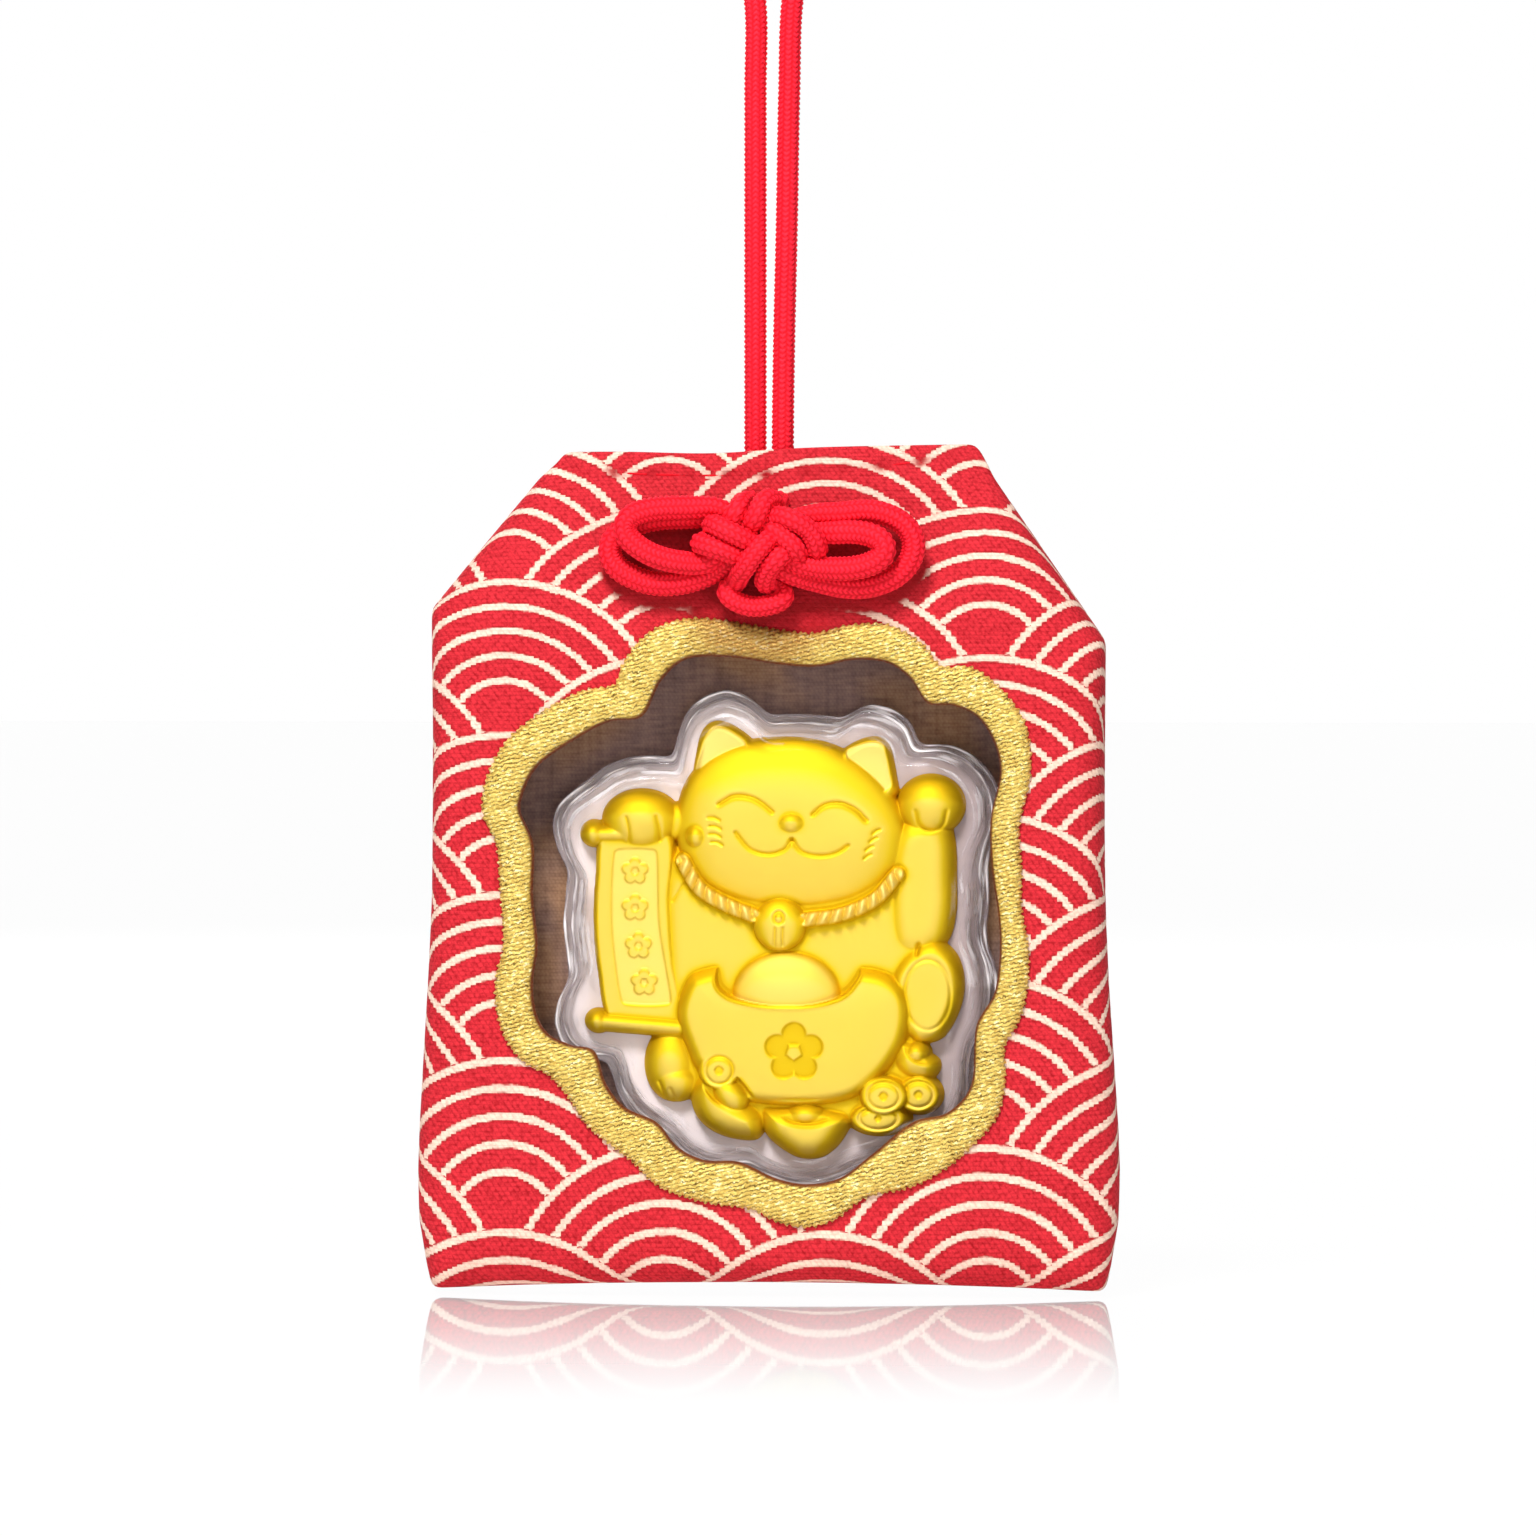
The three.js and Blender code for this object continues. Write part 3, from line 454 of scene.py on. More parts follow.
def brocade():
    """Red cloth with woven cream waves, with painted shade beside its lines, between its threads and along
    the hem, and a painted shadow under the knot.
    """
    material, tree, shader = principled("brocade", {"Roughness": 0.85, "Specular IOR Level": 0.15})
    cloth, shade = mark(tree, "cloth", "Vector"), mark(tree, "shade")
    u, v, _ = split(cloth)
    wobble = (noise(cloth, 1.1, 1.0) - 0.5) * LINE_WOBBLE
    off_line = off_waves(snapped(u, STEP_WIDE) + wobble, snapped(v, STEP_TALL) + wobble)
    # The painted shadow under the knot and the painted shade along the hem hide the cream lines there
    lit = shade.ease(0.0, 0.7).less_from(1)
    cream = off_line.ease(LINE_HALF + LINE_BLUR, LINE_HALF - LINE_BLUR) * lit
    # Painted shade beside each cream line, as if the raised line shaded the red next to it
    painted_line_shade = off_line.ease(LINE_HALF + LINE_EDGE, LINE_HALF) * 0.45
    knot = weave(u, v, THREAD_WIDE, THREAD_TALL, THREAD_LEAN).ease(0.0, 0.6)
    worn = noise(cloth, 0.35, 3.0)
    frayed = noise(cloth, 2.6).ease(0.3, 0.62)
    # The weave's knots paint a little shade between threads; the frayed and worn noise is the cloth's own
    # uneven tone
    red = (knot * 0.3 + frayed * 0.55 + worn * 0.5 - 0.1).blend(RED_PIT, RED)
    pale = (knot * 0.3 + frayed * 0.4 + worn * 0.45).blend(CREAM_PIT, CREAM)
    woven = cream.blend(painted_line_shade.blend(red, LINE_SHADE), pale)
    # Painted shadow under the knot and painted shade along the hem darken the red
    put(tree, shader.inputs["Base Color"], (shade * 0.5).blend(woven, RED_SHADE))
    raise_surface(tree, shader, knot * 0.35 + frayed * 0.4 + cream * 0.4, 0.1, 0.7)
    return material


def gold_thread():
    """Metal thread in short slanted stitches, with glints painted on at random, each stitch painted lighter
    towards its middle, painted shade in the pits between stitches and a painted shadow under the knot.
    """
    material, tree, shader = principled("gold_thread", {"Metallic": 0.35})
    rim, shade = mark(tree, "rim"), mark(tree, "shade")
    along, _, up = split(place(tree, turn=STITCH_SLANT))
    loose = noise(place(tree), 1.6) * 1.6
    row = up / PIT_HIGH + loose
    stitch = (along / PIT_LONG + row.of("FLOOR") * PIT_SHIFT + loose * 0.5).hump()
    # Random tone: its brightest patches are painted glints, and each stitch is painted lighter towards its
    # middle
    tone = noise(place(tree, GLINT_GRAIN, STITCH_SLANT), 1.0).ease(0.3, 0.7)
    satin = (tone * 0.7 + stitch * 0.3).blend(GILT_LOW, GILT_HIGH)
    painted_glints = tone.ease(0.85, 1.0).blend(satin, GILT_PAINTED_GLINT)
    patchy = noise(place(tree), 0.7).ease(0.3, 0.65) * 0.5 + 0.5
    # Painted shade in the pits between stitches
    pit = row.hump().ease(0.86, 0.3) * stitch.ease(0.3, 0.75) * patchy
    # Painted shadow under the knot
    thread = (shade * 0.62).blend(pit.blend(painted_glints, GILT_PIT_SHADE), GILT_SHADE)
    put(tree, shader.inputs["Base Color"], rim.blend(thread, GILT_RIM))
    put(tree, shader.inputs["Roughness"], tone * 0.25 + 0.38)
    raise_surface(tree, shader, pit.less_from(1) + tone * 0.3, 0.1, 0.7)
    return material


def lining_cloth():
    """Dark brown plain weave, warmer in patches."""
    material, tree, shader = principled("lining_cloth", {"Roughness": 0.9})
    x, y, z = split(place(tree))
    knot = weave(x + y, z, LINING_WIDE, LINING_TALL)
    warp = noise(place(tree, WARP_GRAIN), 1.0, 3.0)
    weft = noise(place(tree, WEFT_GRAIN), 1.0)
    warm = noise(place(tree), 0.12, 1.0).ease(0.4, 0.62)
    woven = knot * 0.14 + warp * 0.6 + weft * 0.8 - 0.26
    grey = woven.blend(LINING_GREY, LINING_GREY_LIT)
    brown = woven.blend(LINING_WARM, LINING_WARM_LIT)
    put(tree, shader.inputs["Base Color"], warm.blend(grey, brown))
    raise_surface(tree, shader, knot, 0.05, 0.4)
    return material


def card_paper():
    """White card with short fibres."""
    material, tree, shader = principled("card_paper", {"Roughness": 0.95})
    fibre = noise(place(tree, CARD_GRAIN), 1.0, 4.0)
    put(tree, shader.inputs["Base Color"], fibre.blend(CARD_FIBRE, CARD_WHITE))
    raise_surface(tree, shader, fibre, 0.05, 0.5)
    return material


def braid():
    """Red braided cord, with painted shade down between its strands."""
    material, tree, shader = principled("braid", {"Roughness": 0.65, "Specular IOR Level": 0.15})
    fluff = noise(place(tree), 5.0, 3.0)
    # Painted shade in the grooves between strands, from how high each point stands
    lit = mark(tree, "lift").ease(0.0, 0.7) * 0.85 + fluff * 0.4 - 0.05
    put(tree, shader.inputs["Base Color"], lit.blend(CORD_GROOVE_SHADE, CORD_RED))
    raise_surface(tree, shader, fluff, 0.05, 0.5)
    return material


def gold():
    """Satin gold with painted shade in its hollows, down its steep edges and on what faces up, and paler
    where the sheet is marked pale, which along the rope is a painted highlight.
    """
    material, tree, shader = principled("gold", {"Metallic": 0.8, "Specular IOR Level": 0.0})
    grain = noise(place(tree), 9.0, 3.0)
    # The tone mark is painted shade, 1 where the gold is fully lit
    lit = mark(tree, "tone") + grain * 0.1 - 0.05
    shaded_gold = lit.ease(-0.1, 0.85).blend(GOLD_DARK_SHADE, GOLD_HALF_SHADE)
    satin = lit.ease(0.7, 1.1).blend(shaded_gold, GOLD_LIT)
    put(tree, shader.inputs["Base Color"], mark(tree, "pale").blend(satin, GOLD_PALE))
    put(tree, shader.inputs["Roughness"], grain * 0.1 + 0.58)
    raise_surface(tree, shader, grain, 0.012, 0.5)
    return material


def pale_plastic():
    """Pale sheet behind the cat, clear along its rim: its pale colour stands in for the white room reflected
    in clear plastic, a painted reflection, with painted shade darker towards the right as seen from the
    front.
    """
    material, tree, shader = principled("pale_plastic", {"Roughness": 0.25, "IOR": 1.49})
    across, _, _ = split(place(tree))
    # Painted shade across the plate, with a little random tone
    lit = across.ease(PLATE_DARK, PLATE_LIGHT) * 0.9 + noise(place(tree), 0.25) * 0.1
    put(tree, shader.inputs["Base Color"], lit.blend(PLATE_SHADED, PLATE_LIT))
    put(tree, shader.inputs["Alpha"], mark(tree, "rim").ease(0.0, 1.0) * 0.62 + 0.3)
    return material


def clear_plastic():
    """Clear moulded shell: open face on, glossy where it turns away, with painted reflection streaks and
    glints near its bend and painted highlight lines on its beads.
    """
    values = {"Roughness": 0.06, "IOR": 1.49, "Specular IOR Level": 0.7}
    material, tree, shader = principled("clear_plastic", values)
    weight = new_node(tree, "LayerWeight", {"Blend": 0.45})
    turned = Term(tree, weight.outputs["Facing"])
    bend = mark(tree, "bend")
    x, _, z = split(place(tree))
    flow = new_node(tree, "CombineXYZ", {0: bend * SHELL_ACROSS, 1: x * SHELL_ALONG, 2: z * SHELL_ALONG})
    # Painted reflection streaks near the bend, which also veil it in painted glints
    painted_streak = noise(Term(tree, flow.outputs[0]), 1.0)
    painted_glint_veil = painted_streak.ease(0.46, 0.7) * bend.ease(3.3, 1.7) * 0.5
    put(tree, shader.inputs["Base Color"], painted_streak.ease(0.44, 0.64).blend(SHELL_REFLECTION_GREY, SHELL_REFLECTION_WHITE))
    # The beads' rim mark shows painted highlight lines
    closed = turned.of("POWER", 4.2) * 0.9 + painted_glint_veil + mark(tree, "rim") * 0.6
    show(tree, mix_shaders(tree, closed, tree.nodes.new("ShaderNodeBsdfTransparent"), shader))
    return material


# Mesh building

MIDDLE_SHARE = 0.02


def grid_faces(rows, columns, wrap):
    """Quads over rows of points; wrap joins each row's end to its start."""
    row = np.arange(rows - 1)[:, None] * columns
    near = np.arange(columns if wrap else columns - 1)[None]
    far = (near + 1) % columns
    quads = [row + near, row + far, row + columns + far, row + columns + near]
    return np.stack(quads, -1).reshape(-1, 4)


def tube_faces(rows, sides, first=0):
    """Faces of a tube with both ends closed, whose points start at some number."""
    ends = [list(range(sides)), list(range((rows - 1) * sides, rows * sides))]
    quads = grid_faces(rows, sides, True).tolist()
    return [[first + i for i in face] for face in quads + ends]


def make_piece(name, points, faces, finish, body=None, replaces=(), marks=None):
    """A smooth mesh piece from pouch millimetres. marks are values kept on its points."""
    mesh = bpy.data.meshes.new(name)
    mesh.from_pydata(to_frame(points).tolist(), [], [list(f) for f in faces])
    build = bmesh.new()
    build.from_mesh(mesh)
    bmesh.ops.recalc_face_normals(build, faces=build.faces)
    build.to_mesh(mesh)
    build.free()
    mesh.polygons.foreach_set("use_smooth", np.ones(len(mesh.polygons), bool))
    for key, values in (marks or {}).items():
        values = np.asarray(values, np.float32)
        kind = ("FLOAT", "value") if values.ndim == 1 else ("FLOAT_VECTOR", "vector")
        mesh.attributes.new(key, kind[0], "POINT").data.foreach_set(kind[1], values.ravel())
    mesh.materials.append(MATERIALS[finish])
    obj = add_object(name, mesh)
    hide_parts(*replaces)
    if body:
        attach(obj, body)
    return obj


def lofted(radii, depths, angles, capped=False):
    """Points and faces of rings round the window's centre. A capped loft closes its last ring there."""
    x, z = on_rays(radii, angles)
    rows, columns = radii.shape
    points = np.stack([x, np.broadcast_to(depths, radii.shape), z], -1).reshape(-1, 3)
    faces = grid_faces(rows, columns, True).tolist()
    if capped:
        last = (rows - 1) * columns
        points = np.vstack([points, [CENTRE[0], points[last, 1], CENTRE[1]]])
        faces += [[last + i, last + (i + 1) % columns, len(points) - 1] for i in range(columns)]
    return points, faces


# Pouch cloth

FRONT_DEPTH = -depths_of("front_panel")[0]
BACK_DEPTH = depths_of("back_panel")[1]
ANGLES = turns(1080)
OUTLINE_STEP = 0.4
FLAT_SOFTNESS, SEAM_SOFTNESS = 20, 3
FLAT_MARGIN = 0.4
TOP_TILT, TOP_DIP = 0.02, 0.35
DIP_MIDDLE, DIP_WIDTH = -5, 6
TOP_BAND = -3, -0.5


def uneven_top(edge):
    """A pouch edge whose mouth slopes a little and dips left of its middle."""
    x, z = on_rays(edge, ANGLES)
    uneven = TOP_TILT * x - TOP_DIP * np.exp(-((x - DIP_MIDDLE) / DIP_WIDTH) ** 2)
    return edge + smoothstep(z, *TOP_BAND) * uneven


WINDOW_EDGE = reach(spline(WINDOW, OUTLINE_STEP, True), ANGLES)
BORDER_EDGE = reach(spline(BORDER, OUTLINE_STEP, True), ANGLES)
FLAT_EDGE = softened(BORDER_EDGE, FLAT_SOFTNESS) + FLAT_MARGIN
POUCH_EDGE = uneven_top(softened(reach(outline_of("back_panel"), ANGLES), SEAM_SOFTNESS))
EDGE_X, EDGE_HEIGHT = on_rays(POUCH_EDGE, ANGLES)
AT_TOP = smoothstep(1 + EDGE_HEIGHT / MOUTH_RUN, 0, 1)
ACROSS = np.minimum(1, np.abs(EDGE_X) / MOUTH_HALF_WIDTH)
LIP = SEAM_HALF_GAP + (LIP_DEPTH - SEAM_HALF_GAP) * AT_TOP * (1 - ACROSS**4)
FULLNESS = SIDE_FULLNESS + (MOUTH_FULLNESS - SIDE_FULLNESS) * AT_TOP
ROLL_STATIONS = 30
FLAT_STATIONS = 34
TURN_IN = [(3.0, 0.65), (1.4, 0.66), (0.5, 0.74), (0.12, 0.9)]
WINDOW_TUCK = 0.25
CALM_REACH = 2.5
CALM_DEPTHS = 0.3, 1.6
BORDER_MARGIN = 0.3

# Woven pattern on the cloth
WAVE_FIRST, WAVE_STRIDE, WAVE_GROWTH = -1.14, 6.27, 0.068
WAVE_LEFT = -22.84
BACK_CUT = (9.2, 2.4, 0)

# Slow waves of sewn cloth: height, turn for each millimetre across and up, start
RIPPLES = [(0.1, 0.31, 0.22, 1), (0.08, 0.17, -0.38, 0), (0.05, 0.83, 0.45, 2)]

# Hem and its stitches
HEM_DROP, HEM_BOW, HEM_MIDDLE = 2.4, 0.0036, -5
HEM_REACH, HEM_END = 0.4, 3
HEM_EVEN, HEM_SHARP = 0.3, 8
HEM_DEPTH, HEM_SHADE = 0.45, 0.8
STITCH = 3.35
STITCH_COUNT = 10
STITCH_SIDES = 8
STITCH_STEPS = 12
STITCH_RADIUS = 0.11
STITCH_ENDS = 0.12, 0.88
STITCH_SINK, STITCH_ARCH = 0.55, 0.3

# Painted shadow under the knot
EAR_DROP, MIDDLE_DROP = 1.2, 3.4
EAR_SHADE, MIDDLE_SHADE = 1.4, 4.6
SHADE_MIDDLE = 4.5
SHADE_CORE = 0.5
SHADE_FRONT = -1
ROUTE_STEP = 0.8


def rolled(depth):
    """Radii and depths of a panel's rolled edge, from its turned-in hem to its flat."""
    turn = np.linspace(0, np.pi / 2, ROLL_STATIONS)[:, None]
    run = 1 - np.cos(turn) ** (2 / FULLNESS)
    rise = np.sin(turn) ** (2 / FULLNESS)
    radii = POUCH_EDGE + (FLAT_EDGE - POUCH_EDGE) * run
    depths = LIP + (depth - LIP) * rise
    hem = [POUCH_EDGE - back for back, _ in TURN_IN]
    lips = [LIP * share for _, share in TURN_IN]
    return np.vstack([hem, radii]), np.vstack([lips, depths])


def hem_height(x):
    """Height of the hem's line of stitches."""
    return HEM_BOW * (x - HEM_MIDDLE) ** 2 - HEM_DROP


def cloth_place(x, z):
    """Where a point lies on the woven pattern, which is stretched a little down the pouch."""
    row = np.sqrt(WAVE_STRIDE**2 + 4 * WAVE_GROWTH * (-z - WAVE_FIRST)) - WAVE_STRIDE
    return x - WAVE_LEFT, -WAVE_ROW * row / (2 * WAVE_GROWTH)


def hem_draw(x, z):
    """How far the hem's thread draws the cloth in: along its line, and most at each stitch."""
    line = np.exp(-((z - hem_height(x)) / HEM_REACH) ** 2)
    mouth = smoothstep(np.abs(x), MOUTH_HALF_WIDTH, MOUTH_HALF_WIDTH - HEM_END)
    return line * mouth * (HEM_EVEN + (1 - HEM_EVEN) * np.cos(np.pi * x / STITCH) ** HEM_SHARP)


def ripple(x, z):
    """Unevenness of sewn cloth: slow waves and a drawn-in hem."""
    slow = sum(height * np.sin(across * x + up * z + start) for height, across, up, start in RIPPLES)
    return slow - HEM_DEPTH * hem_draw(x, z)


def cover(points, line, reach_out):
    """1 on the front close to a line, 0 from some distance on."""
    shade = np.zeros(len(points))
    flat = points[:, [0, 2]]
    low, high = line.min(0) - reach_out, line.max(0) + reach_out
    near = np.flatnonzero(((flat > low) & (flat < high)).all(1) & (points[:, 1] < SHADE_FRONT))
    gap = np.linalg.norm(flat[near][:, None] - line[None], axis=2).min(1)
    shade[near] = smoothstep(gap, reach_out, SHADE_CORE)
    return shade


def painted_knot_shadow(points):
    """Painted shadow: how much of the light the knot keeps from what lies under it, most under its middle.
    """
    line = spline(KNOT_ROUTE, ROUTE_STEP)[:, [0, 2]]
    ears = cover(points, line - (0, EAR_DROP), EAR_SHADE)
    middle = line[np.abs(line[:, 0]) < SHADE_MIDDLE] - (0, MIDDLE_DROP)
    return np.maximum(ears, cover(points, middle, MIDDLE_SHADE))


def panel_rings(depth, inner):
    """Radii and depths of a panel's rings, from its hem inwards, and each ring's radius when laid flat."""
    radii, depths = rolled(depth)
    steps = np.hypot(np.diff(radii, axis=0), np.diff(depths, axis=0))
    arc = np.cumsum(steps[::-1], axis=0)[::-1]
    share = np.linspace(0, 1, FLAT_STATIONS)[1:, None]
    flat = FLAT_EDGE + (inner - FLAT_EDGE) * (share if np.any(inner) else share * (1 - MIDDLE_SHARE))
    spread = np.vstack([FLAT_EDGE + arc, FLAT_EDGE, flat])
    return np.vstack([radii, flat]), np.vstack([depths, np.full_like(flat, depth)]), spread


def make_panel(name, node, depth, side, inner):
    """One cloth panel. side is -1 for the front, inner its flat's inner radius, or 0 for a whole back."""
    radii, depths, spread = panel_rings(depth, inner)
    calm = smoothstep(radii, BORDER_EDGE, BORDER_EDGE + CALM_REACH) * smoothstep(depths, *CALM_DEPTHS)
    depths = side * (depths + calm * ripple(*on_rays(radii, ANGLES)))
    points, faces = lofted(radii, depths, ANGLES, not np.any(inner))
    u, v = cloth_place(*on_rays(spread, ANGLES))
    cloth = np.stack([u, v, np.zeros_like(u)], -1).reshape(-1, 3)
    # Painted shade where the hem draws the cloth in, and on the front a painted shadow under the knot
    shade = HEM_SHADE * hem_draw(points[:, 0], points[:, 2])
    if side < 0:
        shade = np.maximum(shade, painted_knot_shadow(points))
    else:
        cloth = np.vstack([cloth, [*cloth_place(*CENTRE), 0]]) + BACK_CUT
    marks = {"cloth": cloth, "shade": shade}
    panel = make_piece(name, points, faces, "brocade", "pouch", [node], marks)
    return panel, polar(spread[0], ANGLES)


def area_inside(outline):
    x, z = outline.T
    return abs(np.dot(x, np.roll(z, 1)) - np.dot(z, np.roll(x, 1))) / 2


def declare_sheet(cut, hole_area):
    """Works out the box round a cloth piece's flat cut and keeps nothing of it; the window's area is not
    used.
    """
    size = (cut.max(0) - cut.min(0)) * MM


def make_pouch():
    front, cut = make_panel("pouch_front", "front_panel", FRONT_DEPTH, -1, WINDOW_EDGE + WINDOW_TUCK)
    declare_sheet(cut, area_inside(polar(WINDOW_EDGE, ANGLES)))
    back, cut = make_panel("pouch_back", "back_panel", BACK_DEPTH, 1, 0)
    declare_sheet(cut, 0)


def panel_depth(x, z):
    """Depth of the front panel's outer face, or of the border on it, over a point."""
    off_x, off_z = x - CENTRE[0], z - CENTRE[1]
    angle, radius = np.arctan2(off_z, off_x) % (2 * np.pi), np.hypot(off_x, off_z)
    rings = (POUCH_EDGE, FLAT_EDGE, LIP, FULLNESS, BORDER_EDGE)
    edge, flat, lip, full, border = (np.interp(angle, ANGLES, ring, period=2 * np.pi) for ring in rings)
    run = np.clip((edge - radius) / (edge - flat), 0, 1)
    cloth = lip + (FRONT_DEPTH - lip) * (1 - (1 - run) ** full) ** (1 / full)
    return np.where(radius < border + BORDER_MARGIN, FRONT_DEPTH + BORDER_RISE, cloth)


def make_stitches():
    """Short red stitches along the front hem, each dipping into the cloth at both ends."""
    points, faces = [], []
    turn = turns(STITCH_SIDES)
    ring = np.stack([np.zeros(STITCH_SIDES), np.cos(turn), np.sin(turn)], -1) * STITCH_RADIUS
    share = np.linspace(*STITCH_ENDS, STITCH_STEPS)
    for start in (np.arange(STITCH_COUNT) - STITCH_COUNT / 2) * STITCH:
        x = start + share * STITCH
        z = hem_height(x)
        y = -panel_depth(x, z) + STITCH_SINK - STITCH_ARCH * np.sin(share * np.pi)
        faces += tube_faces(STITCH_STEPS, STITCH_SIDES, len(points))
        points.extend((np.stack([x, y, z], -1)[:, None] + ring).reshape(-1, 3))
    # With no lift the stitches take the cord's painted groove shade all over
    marks = {"lift": np.zeros(len(points))}
    make_piece("hem_stitches", points, faces, "braid", "pouch", (), marks)


# Window border

BORDER_RAYS = 1620
BORDER_STATIONS = 40
BORDER_STEP = 0.3
BORDER_FOOT, BORDER_SHY = 0.05, 0.2
CROWN_EDGE, CROWN_POWER = 3.5, 0.6
RIM_START = 0.94
STITCH_LONG, STITCH_HIGH, STITCH_SHIFT = 0.5, 0.37, 0.37
STITCH_DEPTH, STITCH_LEAST = 0.12, 0.4

# Uneven outer edge: height, waves round the border, start
RAGGED = [(0.09, 331, 0), (0.07, 197, 1)]

# Wrap round the window's cut edge: how far out of the window's line, how far behind the panel's face
WRAP = [(-0.12, 0.08), (-0.14, 0.4), (-0.05, 0.68), (0.35, 0.75)]

# Turns that scatter the heights of the stitches
SCATTER_ROW, SCATTER_STITCH, SCATTER = 12.99, 78.23, 4375.85


def stitch_bumps(x, z):
    """Rows of short slanted stitches, each with a height of its own."""
    along = x * math.cos(STITCH_SLANT) + z * math.sin(STITCH_SLANT)
    up = z * math.cos(STITCH_SLANT) - x * math.sin(STITCH_SLANT)
    row = np.floor(up / STITCH_HIGH)
    at = along / STITCH_LONG + STITCH_SHIFT * row
    chance = np.abs(np.sin(row * SCATTER_ROW + np.floor(at) * SCATTER_STITCH) * SCATTER) % 1
    tall = STITCH_LEAST + (1 - STITCH_LEAST) * chance
    return tall * np.sin(np.pi * (at % 1)) * np.sin(np.pi * (up / STITCH_HIGH % 1))


def make_border():
    """Crowned band of gold thread that wraps the window's cut edge."""
    angles = turns(BORDER_RAYS)
    inner, outer = (reach(spline(outline, BORDER_STEP, True), angles) for outline in (WINDOW, BORDER))
    outer = outer + sum(height * np.sin(angles * waves + start) for height, waves, start in RAGGED)
    share = np.linspace(0, 1, BORDER_STATIONS)[:, None]
    radii = outer + (inner - outer) * share
    crown = (1 - np.abs(2 * share - 1) ** CROWN_EDGE) ** CROWN_POWER
    depths = -FRONT_DEPTH - BORDER_FOOT - (BORDER_RISE - BORDER_SHY) * crown
    depths = depths - STITCH_DEPTH * stitch_bumps(*on_rays(radii, angles))
    radii = np.vstack([radii, *[inner + out for out, _ in WRAP]])
    depths = np.vstack([depths, *[behind - FRONT_DEPTH + 0 * angles for _, behind in WRAP]])
    points, faces = lofted(radii, depths, angles)
    rim = np.concatenate([smoothstep(share, RIM_START, 1), np.ones((len(WRAP), 1))]) + 0 * angles
    # Painted shadow of the knot on the border's top
    marks = {"rim": rim.ravel(), "shade": painted_knot_shadow(points)}
    make_piece("gold_border", points, faces, "gold_thread", "pouch", ["window_border"], marks)


# Linings

LINING_HEM = 3.0
LINING_CUT = 0.4
FRONT_RINGS, BACK_RINGS = 14, 40
SAG, SAG_ACROSS, SAG_UP, SAG_START = 0.09, 0.55, 0.4, 0.8
GUSSET_HEM = 2.6
GUSSET_SHY = 0.2
GUSSET_CORNER = 0.5
GUSSET_SOFTNESS = 6


def make_front_lining():
    edge, cut = FLAT_EDGE + LINING_HEM, WINDOW_EDGE + LINING_CUT
    radii = edge + (cut - edge) * np.linspace(0, 1, FRONT_RINGS)[:, None]
    points, faces = lofted(radii, np.mean(depths_of("front_lining")), ANGLES)
    front = make_piece("lining_front", points, faces, "lining_cloth", "pouch", ["front_lining"])
    hole = area_inside(polar(cut, ANGLES))
    declare_sheet(polar(edge, ANGLES), hole)


def make_back_lining():
    edge = reach(outline_of("back_lining"), ANGLES)
    radii = edge * np.linspace(1, MIDDLE_SHARE, BACK_RINGS)[:, None]
    x, z = np.moveaxis(polar(radii, ANGLES), -1, 0)
    sag = SAG * np.sin(SAG_ACROSS * x + SAG_START) * np.sin(SAG_UP * z)
    points, faces = lofted(radii, np.mean(depths_of("back_lining")) + sag, ANGLES, True)
    back = make_piece("lining_back", points, faces, "lining_cloth", "pouch", ["back_lining"])
    declare_sheet(polar(edge, ANGLES), 0)


def make_gusset():
    """Band round the capsule, with a hem turned out at its front and back."""
    front, rear = depths_of("pocket_gusset")
    wall = softened(reach(outline_of("pocket_gusset"), ANGLES), GUSSET_SOFTNESS) - GUSSET_SHY
    hem = wall + GUSSET_HEM
    corners = [(hem, front), (wall, front), (wall, rear), (hem, rear)]
    section = rounded([np.stack([r, d + 0 * ANGLES]) for r, d in corners], GUSSET_CORNER)
    points, faces = lofted(section[:, 0], section[:, 1], ANGLES)
    gusset = make_piece("lining_gusset", points, faces, "lining_cloth", "pouch", ["pocket_gusset"])
    around = np.linalg.norm(np.diff(polar(wall, ANGLES), axis=0), axis=1).sum()


# Cords

KNOT_CORD = 2.05
LOOP_STEP, KNOT_STEP, TUBE_STEP = 0.4, 0.3, 0.2
LOOP_FOOT = -3

# Braid: strands as columns of chevrons
RING_STEP = 0.1
BRAID_SIDES = 48
BRAID_COLUMNS = 8
BRAID_PITCH = 0.44
BRAID_SLANT = 1.1
BRAID_DEPTH = 0.15
BRAID_FULLNESS = 0.7
FIRST_SIDE = (0.3, 1, 0.2)

# Settling of the knot's strands against each other
SETTLE_STEP = 0.4
SETTLE_ROUNDS = 60
EASE_ROUNDS = 4
CONTACT = 1.8
NEIGHBOURS = 2.2 * CORD
FIXED_END = 5
PUSH_SHARE, EASE_SHARE, HOME_SHARE = 0.25, 0.06, 0.15
MOST_MOVE = 0.2
SEAT_SHARE = 0.47

# Girth along the knot
TIGHT_GIRTH, EAR_GIRTH = 0.93, 0.14
TIGHT_REACH = 3.5, 7


